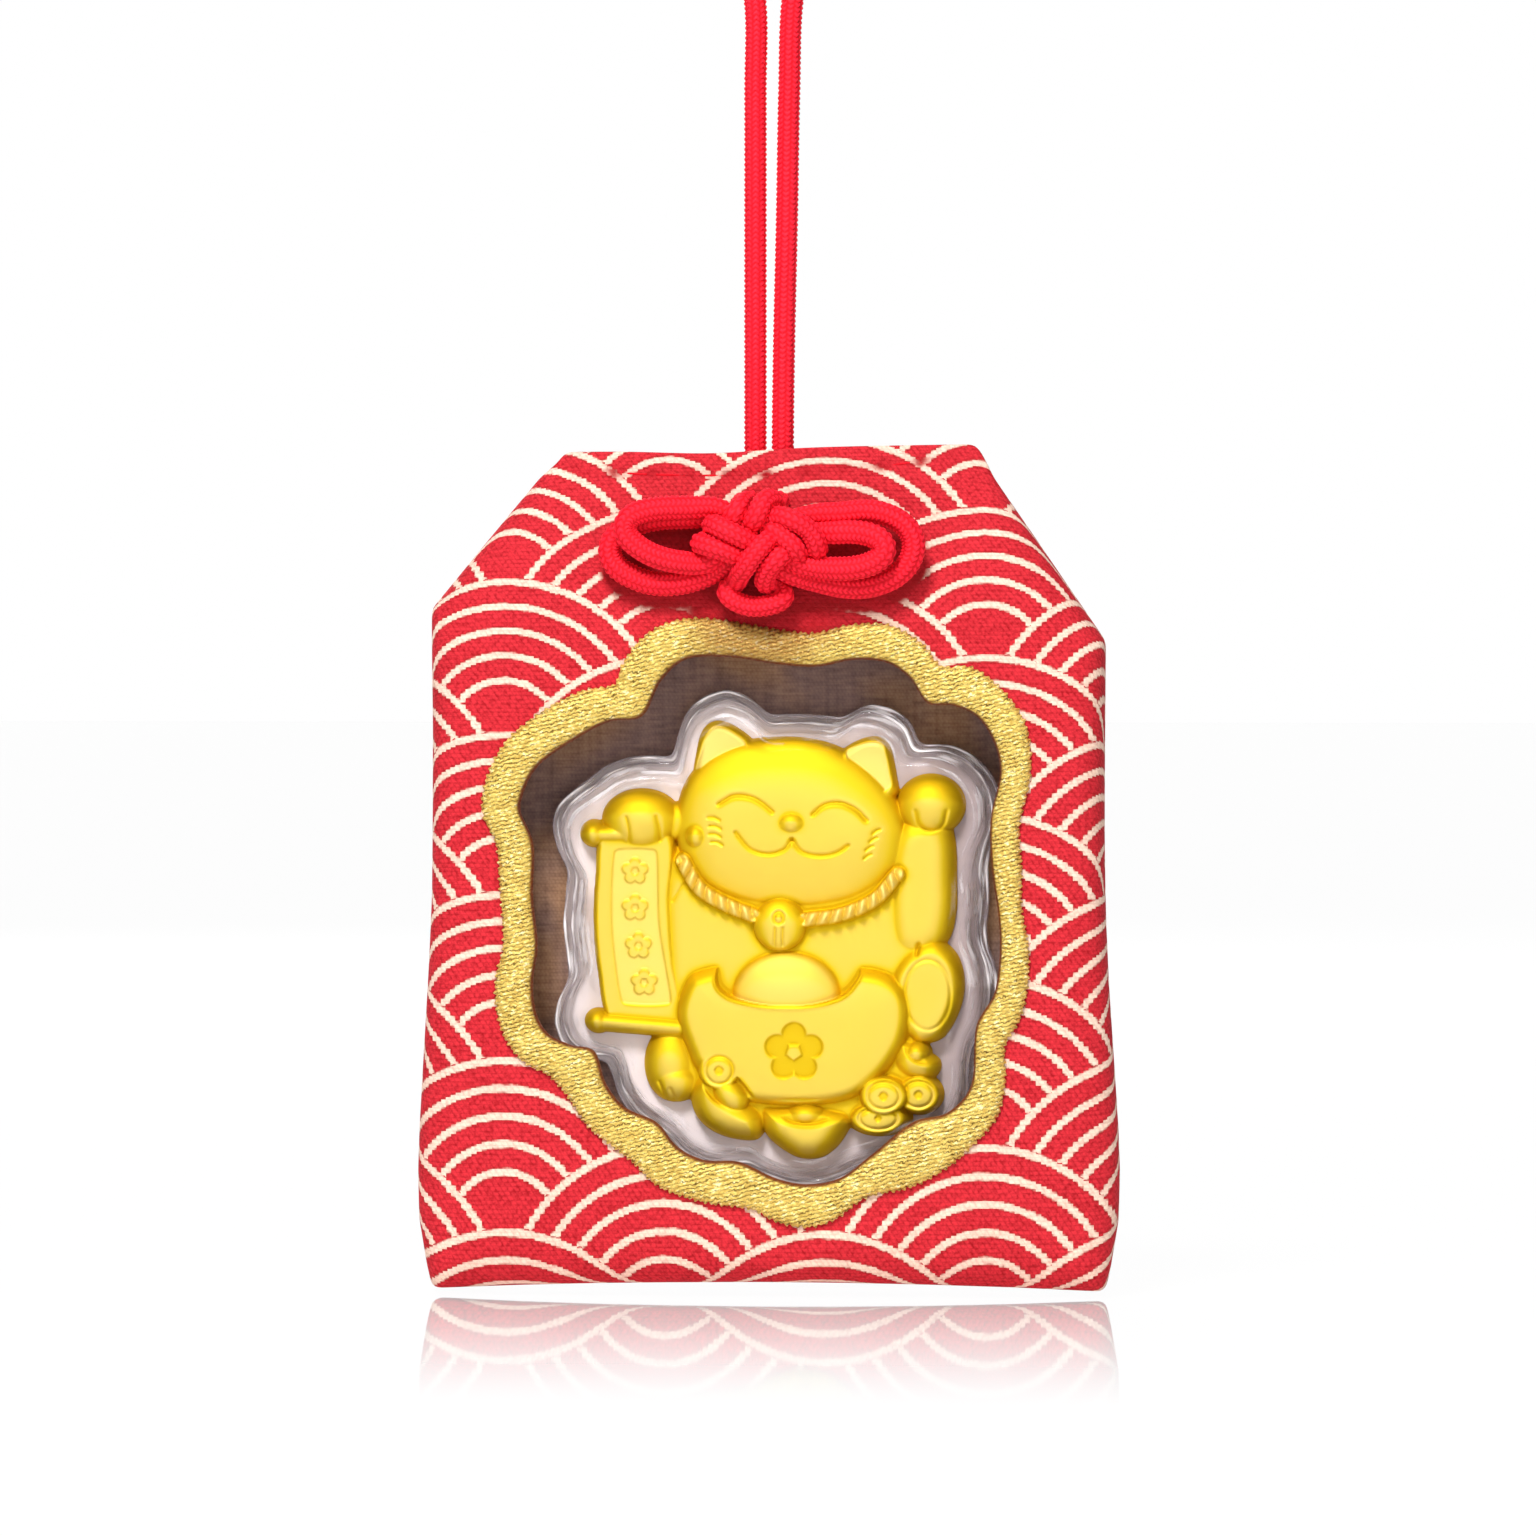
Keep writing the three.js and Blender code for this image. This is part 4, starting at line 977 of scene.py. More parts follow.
def settled(line):
    """The knot's line with its strands pushed off each other and off the cloth, and its bends eased."""
    line = evenly(line, SETTLE_STEP)
    start = line.copy()
    order = np.arange(len(line))
    apart = np.abs(order[:, None] - order) > round(NEIGHBOURS / SETTLE_STEP)
    end = round(FIXED_END / SETTLE_STEP)
    for _ in range(SETTLE_ROUNDS):
        gap = line[:, None] - line[None]
        far = np.linalg.norm(gap, axis=2) + TINY
        push = np.where(apart & (far < CONTACT), (CONTACT - far) / far * PUSH_SHARE, 0)
        move = (push[:, :, None] * gap).sum(1) + HOME_SHARE * (start - line)
        move[1:-1] += EASE_SHARE * ((line[:-2] + line[2:]) / 2 - line[1:-1])
        move[:end], move[-end:] = 0, 0
        line = line + np.clip(move, -MOST_MOVE, MOST_MOVE)
        top = -panel_depth(line[:, 0], line[:, 2]) - CORD * SEAT_SHARE
        line[end:-end, 1] = np.minimum(line[:, 1], top)[end:-end]
    line = evenly(line, SETTLE_STEP)
    for _ in range(EASE_ROUNDS):
        line[1:-1] = (line[:-2] + 2 * line[1:-1] + line[2:]) / 4
    return line


def carried_along(line):
    """Two directions square to a line at each of its points, with no needless twist."""
    tangent = np.gradient(line, axis=0)
    tangent /= np.linalg.norm(tangent, axis=1)[:, None]
    side = np.empty_like(line)
    side[0] = np.cross(tangent[0], FIRST_SIDE)
    for i in range(1, len(line)):
        side[i] = side[i - 1] - tangent[i] * np.dot(side[i - 1], tangent[i])
        side[i] /= np.linalg.norm(side[i])
    side[0] /= np.linalg.norm(side[0])
    return side, np.cross(tangent, side)


def braided(path, diameter, girth=None):
    """A braided tube along a path: its points, faces, ring centres and how high each point stands."""
    line = evenly(path, RING_STEP)
    side, other = carried_along(line)
    turn = turns(BRAID_SIDES)
    column = turn / (2 * np.pi) * BRAID_COLUMNS
    within = column % 1 - 0.5
    along = np.arange(len(line))[:, None] * RING_STEP / BRAID_PITCH
    phase = along + BRAID_SLANT * np.abs(within) + 0.5 * (np.floor(column) % 2)
    lift = (0.5 + 0.5 * np.cos(2 * np.pi * phase)) * np.cos(np.pi * within) ** BRAID_FULLNESS
    radius = diameter / 2 * (1 - BRAID_DEPTH * (1 - lift))
    if girth:
        radius = radius * girth(line)[:, None]
    rings = side[:, None] * np.cos(turn)[:, None] + other[:, None] * np.sin(turn)[:, None]
    points = (line[:, None] + rings * radius[:, :, None]).reshape(-1, 3)
    return points, tube_faces(len(line), BRAID_SIDES), line, lift.ravel()


def drawn_tight(line):
    """Girth along the knot: thinner where it is pulled tight in the middle, fuller in its ears."""
    return TIGHT_GIRTH + EAR_GIRTH * smoothstep(np.abs(line[:, 0]), *TIGHT_REACH)


def make_loop():
    left, right = LEFT_TAIL[0][0], RIGHT_TAIL[2][0]
    rise = [(left, 0, LOOP_FOOT), (left, 0, HINGE_RISE)]
    fall = [(right, 0, HINGE_RISE), (right, 0, LOOP_FOOT)]
    path = spline([*rise, *[(x, 0, z) for x, z in LOOP_ROUTE], *fall], LOOP_STEP)
    points, faces, line, lift = braided(path, CORD)
    loop = make_piece("hang_cord", points, faces, "braid", None, ["hang_loop"], {"lift": lift})
    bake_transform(loop)


def make_knot():
    route = spline([*LEFT_TAIL, *KNOT_ROUTE, *RIGHT_TAIL], KNOT_STEP)
    points, faces, line, lift = braided(spline(settled(route), TUBE_STEP), KNOT_CORD, drawn_tight)
    knot = make_piece("knot_braid", points, faces, "braid", "pouch", ["knot_cord"], {"lift": lift})


# Capsule

SHELL_WALL = 0.6
FLANGE_WIDTH = 1.0
FLANGE = 0.6
FLANGE_DROP = 0.2
SHOULDER, SHOULDER_INSIDE = 1.7, 1.4
CORNER_STATIONS, SHOULDER_STATIONS = 8, 16
CAPSULE_SOFTNESS = 9
BEAD, BEAD_STATIONS = 0.13, 40
BEAD_PLACES = (0.16, 0.8)
BEAD_RIM = 0.2, 0.9
PLATE_RINGS = np.concatenate([[0, 0.1], np.linspace(0.3, 2.5, 12)])[:, None]
PLATE_RIM = 0.6, 1.3


def rounded(corners, radius):
    """A section's corner points with each inner corner drawn as a small curve, by rays."""
    rows = [corners[0]]
    for before, corner, after in zip(corners, corners[1:], corners[2:]):
        runs = [end - corner for end in (before, after)]
        a, b = (corner + run / np.maximum(np.linalg.norm(run, axis=0), SLACK) * radius for run in runs)
        for t in np.linspace(0, 1, CORNER_STATIONS):
            rows.append((1 - t) ** 2 * a + 2 * t * (1 - t) * corner + t**2 * b)
    rows.append(corners[-1])
    return np.stack(rows)


def shoulder(foot, front, reach_in, drop):
    """A quarter round from the shell's level face down to its foot, by rays."""
    turn = np.linspace(np.pi / 2, 0, SHOULDER_STATIONS)[:, None]
    radii = foot - reach_in * (1 - np.cos(turn))
    depths = front + drop * (1 - np.sin(turn)) + 0 * foot
    return np.stack([radii, depths], 1)


def make_shell(edge):
    """Clear shell: a level face, a round shoulder and a flange with two moulded beads."""
    front, back = depths_of("capsule_front_shell")
    foot, step = edge - FLANGE_WIDTH, back - FLANGE
    inner = foot - SHELL_WALL
    outside = shoulder(foot, front, SHOULDER, step - front - FLANGE_DROP)
    inside = shoulder(inner, front + SHELL_WALL, SHOULDER_INSIDE, back - front - SHELL_WALL)
    radii = foot + (edge - foot) * np.linspace(0, 1, BEAD_STATIONS)[:, None]
    bead = sum(np.sqrt(np.maximum(1 - ((radii - edge + at) / BEAD) ** 2, 0)) for at in BEAD_PLACES)
    flange = np.stack([radii, step - BEAD * bead], 1)
    level = 0 * edge
    under = [np.stack([r, level + back]) for r in (edge, inner)]
    middle = [np.stack([edge * MIDDLE_SHARE, level + d]) for d in (front, front + SHELL_WALL)]
    section = np.concatenate([middle[:1], outside, flange, under, inside[::-1], middle[1:]])
    rim = np.zeros(section[:, 0].shape)
    first = 1 + len(outside)
    # Painted highlight lines along the bead crests
    rim[first:first + BEAD_STATIONS] = smoothstep(bead, *BEAD_RIM)
    points, faces = lofted(section[:, 0], section[:, 1], ANGLES)
    marks = {"rim": rim.ravel(), "bend": (edge - section[:, 0]).ravel()}
    make_piece("capsule_shell", points, faces, "clear_plastic", "capsule",
               ["capsule_front_shell"], marks)


def make_plate(edge):
    low, high = depths_of("capsule_rear_plate")
    face, middle = edge - PLATE_RINGS, edge * MIDDLE_SHARE
    radii = np.vstack([middle, face[::-1], face, middle])
    depths = np.repeat([high, low], len(PLATE_RINGS) + 1)[:, None]
    points, faces = lofted(radii, depths, ANGLES)
    marks = {"rim": smoothstep(edge - radii, *PLATE_RIM).ravel()}
    make_piece("capsule_plate", points, faces, "pale_plastic", "capsule",
               ["capsule_rear_plate"], marks)


def make_capsule():
    edge = softened(reach(outline_of("capsule_rear_plate"), ANGLES), CAPSULE_SOFTNESS)
    make_shell(edge)
    make_plate(edge)


# Gold cat: forms pressed up from a sheet, sizes about the window's centre

GRID = 0.09
GRID_LOW, GRID_HIGH = (-17.6, -21.4), (18.4, 18.9)
BELOW = -2.0
SLOPE_OUT = 5.0
CREASE = 0.07
PILLOW_STEP, CUT_STEP, GROOVE_STEP, ROPE_STEP = 0.35, 0.3, 0.2, 0.15
PART_MARGIN = 0.8
CUT_EDGE = 0.14
BROAD_SHARE = 0.25
RING_POINTS = 25
TWIST_SLANT, TWIST_LEAST, TWIST_RIDGE = 0.3, 0.3, 0.35


def quarter_round(share):
    """Rises from 0 to 1 along a quarter circle."""
    return np.sqrt(1 - (1 - np.clip(share, 0, 1)) ** 2)


class Relief:
    """Heights of a pressed sheet, built up from forms that overlap."""

    def __init__(self, low, high):
        self.x, self.z = np.meshgrid(np.arange(low[0], high[0], GRID), np.arange(low[1], high[1], GRID))
        self.height = np.full(self.x.shape, BELOW)
        self.pale = np.zeros(self.x.shape)

    def part(self, points):
        """The piece of the grid that some points cover."""
        p = np.asarray(points, float)
        low, high = p.min(0) - PART_MARGIN, p.max(0) + PART_MARGIN
        columns = np.flatnonzero((self.x[0] > low[0]) & (self.x[0] < high[0]))
        rows = np.flatnonzero((self.z[:, 0] > low[1]) & (self.z[:, 0] < high[1]))
        return np.s_[rows[0]:rows[-1] + 1, columns[0]:columns[-1] + 1]

    def within(self, outline, step=CUT_STEP):
        """The piece of the grid that a closed outline covers, and how far inside it each point lies."""
        line = spline(outline, step, True)
        part = self.part(line)
        return part, signed_distance(line, self.x[part], self.z[part])

    def raise_to(self, part, height):
        """Puts a form on the sheet, with a small crease where it meets what is there."""
        old = self.height[part]
        share = np.clip(0.5 + (height - old) / (2 * CREASE), 0, 1)
        self.height[part] = old + (height - old) * share + CREASE * share * (1 - share)
        self.pale[part] *= 1 - share
        return share

    def brighten(self, part, pale):
        self.pale[part] = np.maximum(self.pale[part], pale)

    def dome(self, x, z, wide, tall, rise, base=0.0, power=0.5, tilt=0.0, pale=0.0):
        """An ellipse that swells up."""
        most = max(wide, tall)
        part = self.part([(x - most, z - most), (x + most, z + most)])
        across, up = self.x[part] - x, self.z[part] - z
        turn = math.radians(tilt)
        along = (across * math.cos(turn) + up * math.sin(turn)) / wide
        over = (up * math.cos(turn) - across * math.sin(turn)) / tall
        size = np.hypot(along, over)
        swell = base + (rise - base) * np.maximum(1 - size**2, 0) ** power
        slope = base - SLOPE_OUT * (size - 1) * min(wide, tall)
        seen = self.raise_to(part, np.where(size < 1, swell, slope))
        self.brighten(part, pale * seen * smoothstep(size, 1, 0.8))

    def pillow(self, outline, rise, edge, base=0.0, broad=0.0):
        """A closed outline whose edges round up to a level top, or with a broad swell to a crowned one."""
        part, inside = self.within(outline, PILLOW_STEP)
        swell = quarter_round(inside / edge)
        if broad:
            swell = (1 - BROAD_SHARE) * swell + BROAD_SHARE * quarter_round(inside / broad)
        self.raise_to(part, np.where(inside > 0, base + (rise - base) * swell, base + SLOPE_OUT * inside))

    def sink(self, outline, depth, edge, pale=0.0):
        """Lowers the sheet inside an outline, and leaves it paler there."""
        part, inside = self.within(outline)
        lowered = smoothstep(inside, 0, edge)
        self.height[part] -= depth * lowered
        self.brighten(part, pale * lowered)

    def cut(self, outline, level):
        """Lowers the sheet to a level inside an outline."""
        part, inside = self.within(outline)
        self.height[part] -= np.maximum(self.height[part] - level, 0) * smoothstep(inside, 0, CUT_EDGE)

    def groove(self, points, width, depth):
        """Presses a line into the sheet, or a ridge where the depth is negative."""
        line = spline(points, GROOVE_STEP)
        part = self.part(line)
        far = np.sqrt(distance_squared(line, self.x[part], self.z[part])[0])
        self.height[part] -= depth * np.exp(-(far / width) ** 2)

    def strokes(self, places, shape, width, depth):
        """The same short line, pressed in at each of some places."""
        for x, z in places:
            self.groove([(x + across, z + up) for across, up in shape], width, depth)

    def ring(self, x, z, wide, tall, width, depth):
        turn = np.linspace(0, 2 * np.pi, RING_POINTS)
        self.groove(np.column_stack([x + wide * np.cos(turn), z + tall * np.sin(turn)]), width, depth)

    def rope(self, points, radius, middle, pitch):
        """A twisted rope laid over the sheet, with a painted highlight on its beads."""
        line = spline(points, ROPE_STEP)
        part = self.part(line)
        far, along, aside = distance_squared(line, self.x[part], self.z[part])
        width = np.sqrt(far) / radius
        twist = np.abs(np.sin(np.pi * (along / pitch + TWIST_SLANT * aside / radius)))
        strand = TWIST_LEAST + (1 - TWIST_LEAST) * twist
        bead = middle + radius * np.sqrt(np.maximum(1 - width**2, 0)) * strand + TWIST_RIDGE * twist
        self.raise_to(part, np.where(width < 1, bead, middle - SLOPE_OUT * (width - 1)))
        # Painted highlight along each bead
        self.brighten(part, smoothstep(width, 1, 0.6) * strand)


def distance_squared(line, x, z):
    """From each grid point to a line: squared distance, run along it, and offset to its left."""
    best, along, aside = np.full(x.shape, np.inf), np.zeros(x.shape), np.zeros(x.shape)
    run = 0.0
    for a, b in zip(line, line[1:]):
        step = b - a
        long = np.hypot(*step)
        if long < TINY:
            continue
        share = np.clip(((x - a[0]) * step[0] + (z - a[1]) * step[1]) / long**2, 0, 1)
        off_x, off_z = x - a[0] - share * step[0], z - a[1] - share * step[1]
        far = off_x**2 + off_z**2
        near = far < best
        best = np.where(near, far, best)
        along = np.where(near, run + share * long, along)
        aside = np.where(near, (step[0] * off_z - step[1] * off_x) / long, aside)
        run += long
    return best, along, aside


def signed_distance(outline, x, z):
    """Distance to a closed outline, positive inside it."""
    closed = np.vstack([outline, outline[:1]])
    far = np.sqrt(distance_squared(closed, x, z)[0])
    inside = np.zeros(x.shape, bool)
    for a, b in zip(closed, closed[1:]):
        if a[1] != b[1]:
            crosses = (z < a[1]) != (z < b[1])
            inside ^= crosses & (x < (b[0] - a[0]) * (z - a[1]) / (b[1] - a[1]) + a[0])
    return np.where(inside, far, -far)


# Outlines of the cat and its treasure
HEAD = [
    (0.9, 16.25), (3.7, 16.1), (6.1, 15.4), (8.2, 14.1), (10, 12.5), (11.2, 10.8), (11.9, 8.8),
    (11.9, 7.1), (11.4, 5.3), (10.2, 3.8), (7.8, 2.3), (4.3, 1.5), (0.8, 1.5), (-3.1, 2.2), (-5.9, 3.7),
    (-7.5, 5.9), (-8, 8), (-7.9, 10), (-7.1, 12.5), (-5.5, 14.3), (-3.1, 15.6), (-1.1, 16.1),
]
BODY = [
    (-8.9, 7), (-9.6, -3), (-9, -9), (-4, -15), (4, -16), (11, -13), (14, -6), (14.5, 2), (12, 6),
    (2, 7), (-6, 6),
]
RIGHT_ARM = [
    (11.5, 9), (15.6, 9.5), (16.3, 7.5), (16.45, 4), (16.4, 1.1), (15.6, -1.5), (13, -3), (10.8, -2),
    (10.2, 4),
]
LEFT_EAR = [
    (-6.5, 11.6), (-6.65, 13), (-6.35, 15), (-6, 16.5), (-5.45, 17.4), (-4.6, 17.8), (-3.75, 17.7),
    (-2.9, 17.3), (-2, 16.7), (-1.1, 15.9), (0.4, 14.5), (-3, 11),
]
LEFT_EAR_HOLLOW = [
    (-6.3, 13.2), (-6, 15), (-5.4, 16.5), (-4.6, 17.25), (-3.75, 17.2), (-2.9, 16.75), (-1.9, 15.9),
    (-2, 14), (-4, 12.2),
]
RIGHT_EAR = [
    (5, 14.4), (6.4, 15.3), (7.8, 16.1), (9, 16.45), (10.05, 16.3), (10.65, 15.6), (10.95, 14.4),
    (11.2, 13), (11.3, 11.4), (8, 10),
]
RIGHT_EAR_HOLLOW = [
    (6.8, 15.15), (8.1, 15.85), (9.3, 16.05), (10.05, 15.8), (10.35, 14.9), (10.65, 13.4), (10.8, 12),
    (9.3, 11.6), (7.6, 13.4),
]
SCROLL = [
    (-14.6, 7.9), (-15.2, 4), (-15.35, 0), (-15, -4), (-13.9, -8.4), (-10.5, -8.7), (-7.4, -8.8),
    (-8.1, -3), (-8.4, 2), (-8.4, 7.9), (-11.5, 8.1),
]
PANEL = [
    (-13.45, 6.4), (-13.3, 6.6), (-9.8, 6.6), (-9.65, 6.4), (-9.4, 0), (-8.4, -6.7), (-8.5, -6.9),
    (-12.6, -6.9), (-12.8, -6.7), (-13.7, 0),
]
RIGHT_FOOT = [
    (13.5, -1.35), (11.7, -2.6), (10.7, -4.2), (10.6, -6), (11.4, -8.6), (12.9, -10.2), (15.1, -9.9),
    (16.6, -7.6), (17.1, -5), (16.5, -2.6), (15, -1.3),
]
BOAT = [
    (-5.5, -3.75), (-6.8, -4.3), (-7.55, -5.6), (-7.95, -7), (-8, -8), (-7.7, -9.3), (-7.15, -10.75),
    (-6.4, -12.5), (-5.1, -14.1), (-2.9, -15.2), (0.4, -15.75), (4.5, -15.75), (7.8, -15), (10, -13.3),
    (11.3, -11.7), (12.2, -10), (12.6, -8.2), (12.55, -6.7), (12.1, -5.4), (11.15, -4.4), (9.9, -3.85),
    (8.4, -3.6), (2, -3.2), (-4.2, -3.5),
]
BOAT_LIP = [
    (-4.5, -4.2), (-4.4, -5.2), (-3.5, -6.1), (-1.4, -6.75), (1.2, -7), (4.5, -6.8), (6.8, -6),
    (7.85, -4.85), (8.2, -4.1),
]
BOAT_HOLLOW = [*BOAT_LIP, (8, -3), (2, -2.4), (-4, -2.9)]
LEFT_INGOT = [
    (-6.2, -13.2), (-6.75, -14.6), (-6.6, -16), (-5.9, -17.2), (-4.5, -18.2), (-2.5, -18.75),
    (-1, -18.7), (-0.4, -18), (-0.35, -16.6), (-0.9, -15.9), (-2.2, -15), (-4.4, -13.3), (-5.4, -12.9),
]
LEFT_INGOT_HOLLOW = [
    (-5.75, -13.4), (-5.3, -14.6), (-4.4, -15.45), (-3, -16.05), (-1.8, -16.05), (-0.9, -15.6),
    (-1.5, -14.4), (-3, -12.8), (-5, -12.4),
]
LOWER_INGOT = [
    (-0.5, -15.9), (-0.6, -17), (-0.15, -18.3), (1, -19.4), (2.7, -20.3), (4.5, -20.3), (5.9, -19.4),
    (6.9, -18), (7.3, -17.2), (7.1, -16.4), (5.5, -15.9), (3.3, -15.7), (1, -15.7),
]
LOWER_INGOT_HOLLOW = [
    (-0.1, -15.9), (0.8, -16.4), (1.9, -17.15), (3.3, -17.4), (4.7, -17.25), (6.1, -16.65),
    (6.8, -16.3), (6, -15.3), (3.3, -15), (0.6, -15.2),
]
RIGHT_INGOT = [
    (11.5, -9.8), (10.85, -11.4), (11, -12.4), (11.9, -13.3), (13.2, -13.6), (14.3, -13.4), (15, -12.6),
    (15, -11.8), (14, -11), (12.6, -10),
]
RIGHT_INGOT_HOLLOW = [
    (11.9, -10.2), (12.15, -11.3), (12.9, -11.9), (13.9, -12), (14.7, -11.8), (14.4, -10.8),
    (12.8, -9.6),
]
TREASURE_BED = [
    (-8, -12), (-6.4, -16), (-3.4, -18.3), (0, -18), (3.4, -19.8), (7, -17.6), (10, -17.4),
    (13.5, -15.6), (14.6, -12), (12, -9), (2, -9), (-6, -9),
]

# Ends of the scroll's rollers, and their radius
ROLLERS = [((-15.2, 7.95), (-11, 7.9), 0.85), ((-14.9, -8.4), (-7.4, -9), 0.9)]
ROLLER_STEPS = 40
ROLLER_RISE, ROLLER_BASE = 1.95, 0.3

# Round forms: x, height, half width, half height, rise, and for some the rise that they start from
ROLLER_KNOBS = [(-15.25, 7.95, 1.25, 1.2, 2.15, 0.2), (-14.9, -8.4, 1.2, 1.1, 2.15, 0.2)]
LEFT_FOOT = [(-8.5, -12.1, 2.4, 3.3, 1.9), (-8.1, -13.6, 2.3, 1.9, 2)]
NOSE = (2.15, 8.95, 1.25, 0.95, 3.2, 2.2)
COLLAR_KNOB = (-6.2, 7.75, 1.0, 1.1, 2.7, 1.4)
LEFT_WRIST = (-7.9, 9, 2.2, 1.7, 1.6, 0.4)
LEFT_PAW = (-11.1, 9.2, 3.4, 2.6, 2.55, 0.5)
RIGHT_PAW = (14.2, 10.5, 2.95, 2.65, 2.55, 0.4)
BELL = (1.1, 0.05, 2.3, 2.3, 2.85, 1.5, 0.4)
BOAT_CROWN = (1.65, -6, 4.75, 3.75, 2.78, 1.3)
LEFT_NUGGET = (-3.2, -14.75, 1.75, 1.25, 3, 1.8)
LOWER_NUGGET = (3.35, -16.5, 1.85, 1.05, 2.6, 0.8)
RIGHT_NUGGET = (13, -11.1, 1.2, 1.05, 2.2, 0.6)

# Pressed lines: their points, and for each kind its width and depth
EYES = [
    [(-4.2, 10.6), (-2.9, 11.3), (-1.4, 11.2), (-0.3, 10.6), (0.5, 9.9)],
    [(4, 9.7), (5, 10.5), (6.4, 10.7), (7.8, 10.1), (8.7, 9.2)],
]
LIPS = [
    [(-2.7, 8.1), (-1.5, 6.7), (0.2, 6.25), (1.6, 6.7), (2.2, 7.5)],
    [(2.2, 7.5), (3, 6.5), (4.7, 6.1), (6.2, 6.4), (7.1, 7)],
]
LEFT_WHISKER, RIGHT_WHISKER = [(-0.5, 0.1), (0, 0.1), (0.45, -0.14)], [(0.32, 0.2), (0, 0.06), (-0.3, -0.2)]
LEFT_WHISKERS = [(-4.6, 9.3), (-4.5, 8.55), (-4.5, 7.85), (-4.35, 7.15)]
RIGHT_WHISKERS = [(9.55, 8.2), (9.3, 7.5), (8.95, 6.75), (8.8, 6.05)]
FOOT_TOE, PAW_TOE = [(-0.1, 0.5), (0.3, -0.6)], [(-0.15, 1.1), (0.1, 0), (0.1, -1)]
FOOT_TOES = [(-9.4, -14.2), (-8.4, -14.8)]
PAW_TOES = [(-12.2, 8.3), (-9.5, 8.4)]
PALM = [(12.9, 10), (13.2, 8.8), (14.2, 8.3), (15.3, 8.7), (15.7, 10)]
SOLE = (14, -6, 2, 3.05)
HEEL_FOLD = [(13.2, -1.6), (13, -2.5)]
ELBOW_FOLD = [(-7.2, 3.8), (-8.3, 2.1)]
LEFT_ROPE = [(-7.4, 5.6), (-5.9, 3.2), (-3.5, 1.75), (-1.2, 0.85)]
RIGHT_ROPE = [(3.3, 0.5), (6.4, 0.95), (9.5, 2.35), (11.4, 4.5)]
LIP_DROP = 0.25
ROPE_RADIUS, ROPE_HEIGHT, ROPE_PITCH = 0.62, 1.8, 1.15
BELL_EYE = (1.05, 0.7, 0.42, 0.5)
BELL_SLIT, BELL_SLITS = [(0, -0.2), (-0.05, -1.7)], [(0.72, 0), (1.42, 0)]
FACE_LINE, WHISKER_LINE, TOE_LINE = (0.15, 0.26), (0.12, 0.2), (0.13, 0.2)
PALM_LINE, SLIT_LINE, SOLE_LINE, EYE_LINE = (0.14, 0.18), (0.11, 0.2), (0.16, 0.14), (0.13, 0.22)
HEEL_LINE, ELBOW_LINE, COIN_LINE, LIP_LINE = (0.16, 0.3), (0.12, 0.12), (0.13, 0.2), (0.14, -0.09)

# Blossoms: their places, size and lift
SCROLL_BLOSSOMS = [(-11.6, 4.7), (-11.6, 1.5), (-11.3, -1.8), (-10.8, -5)]
SCROLL_BLOSSOM, BOAT_BLOSSOM = (1.15, 0.2), (2.5, -0.2)
BOAT_BLOSSOM_PLACE = (2.4, -11)
BLOSSOM_TONE = 0.45
PETALS, PETAL_OUT = 5, 0.62
PETAL_EDGE, STAMEN_EDGE = (0.46, 0.36), (0.3, 0.18)

# Coins: x, height, half width, half height, rise
COIN_ON_BOAT = (-4.15, -12.6, 1.7, 1.65, 2.95)
COIN_PILE = [(13.2, -14.7, 1.8, 1.55, 2.1), (9.7, -16.8, 2.3, 1.3, 2.3), (10.2, -14.8, 1.95, 1.6, 2.75)]
COIN_STEP, COIN_EDGE, COIN_RIM, COIN_HOLE = 0.5, 0.25, 0.72, 0.3
INGOT_HOLLOW = 0.5

# Painted shade on the gold: how much, and from which slope or depth to which
STEEP_DARK, STEEP_SLOPES = 0.6, (0.05, 0.9)
UPPER_DARK, UPPER_SLOPES = 0.35, (0.03, 0.4)
LOWER_SHARE = 0.25
HOLLOW_DARK, HOLLOW_DEPTHS = 2.2, (0, 0.3)
WIDE_DARK, WIDE_DEPTHS = 0.2, (-0.3, 1)
SLOPE_CELLS, HOLLOW_CELLS = 2, (5, 14)


def press_limbs(cat):
    """Body, right arm and ears."""
    cat.pillow(BODY, rise=1.5, edge=2.5)
    cat.pillow(RIGHT_ARM, rise=1.85, edge=2.2)
    for ear, hollow in ((LEFT_EAR, LEFT_EAR_HOLLOW), (RIGHT_EAR, RIGHT_EAR_HOLLOW)):
        cat.pillow(ear, rise=1.6, edge=0.9)
        cat.sink(hollow, depth=0.2, edge=0.18, pale=0.8)


def press_scroll(cat):
    """Scroll with a sunk panel and a roller at each end."""
    cat.pillow(SCROLL, rise=1.55, edge=0.5)
    cat.sink(PANEL, depth=0.16, edge=0.18, pale=0.6)
    for start, end, radius in ROLLERS:
        for x, z in np.linspace(start, end, ROLLER_STEPS):
            cat.dome(x, z, radius, radius, ROLLER_RISE, ROLLER_BASE)
    for knob in ROLLER_KNOBS:
        cat.dome(*knob)


def press_feet(cat):
    cat.pillow(RIGHT_FOOT, rise=2.1, edge=1.4, base=0.2)
    cat.ring(*SOLE, *SOLE_LINE)
    cat.groove(HEEL_FOLD, *HEEL_LINE)
    for form in LEFT_FOOT:
        cat.dome(*form)
    cat.strokes(FOOT_TOES, FOOT_TOE, *TOE_LINE)
    cat.groove(ELBOW_FOLD, *ELBOW_LINE)


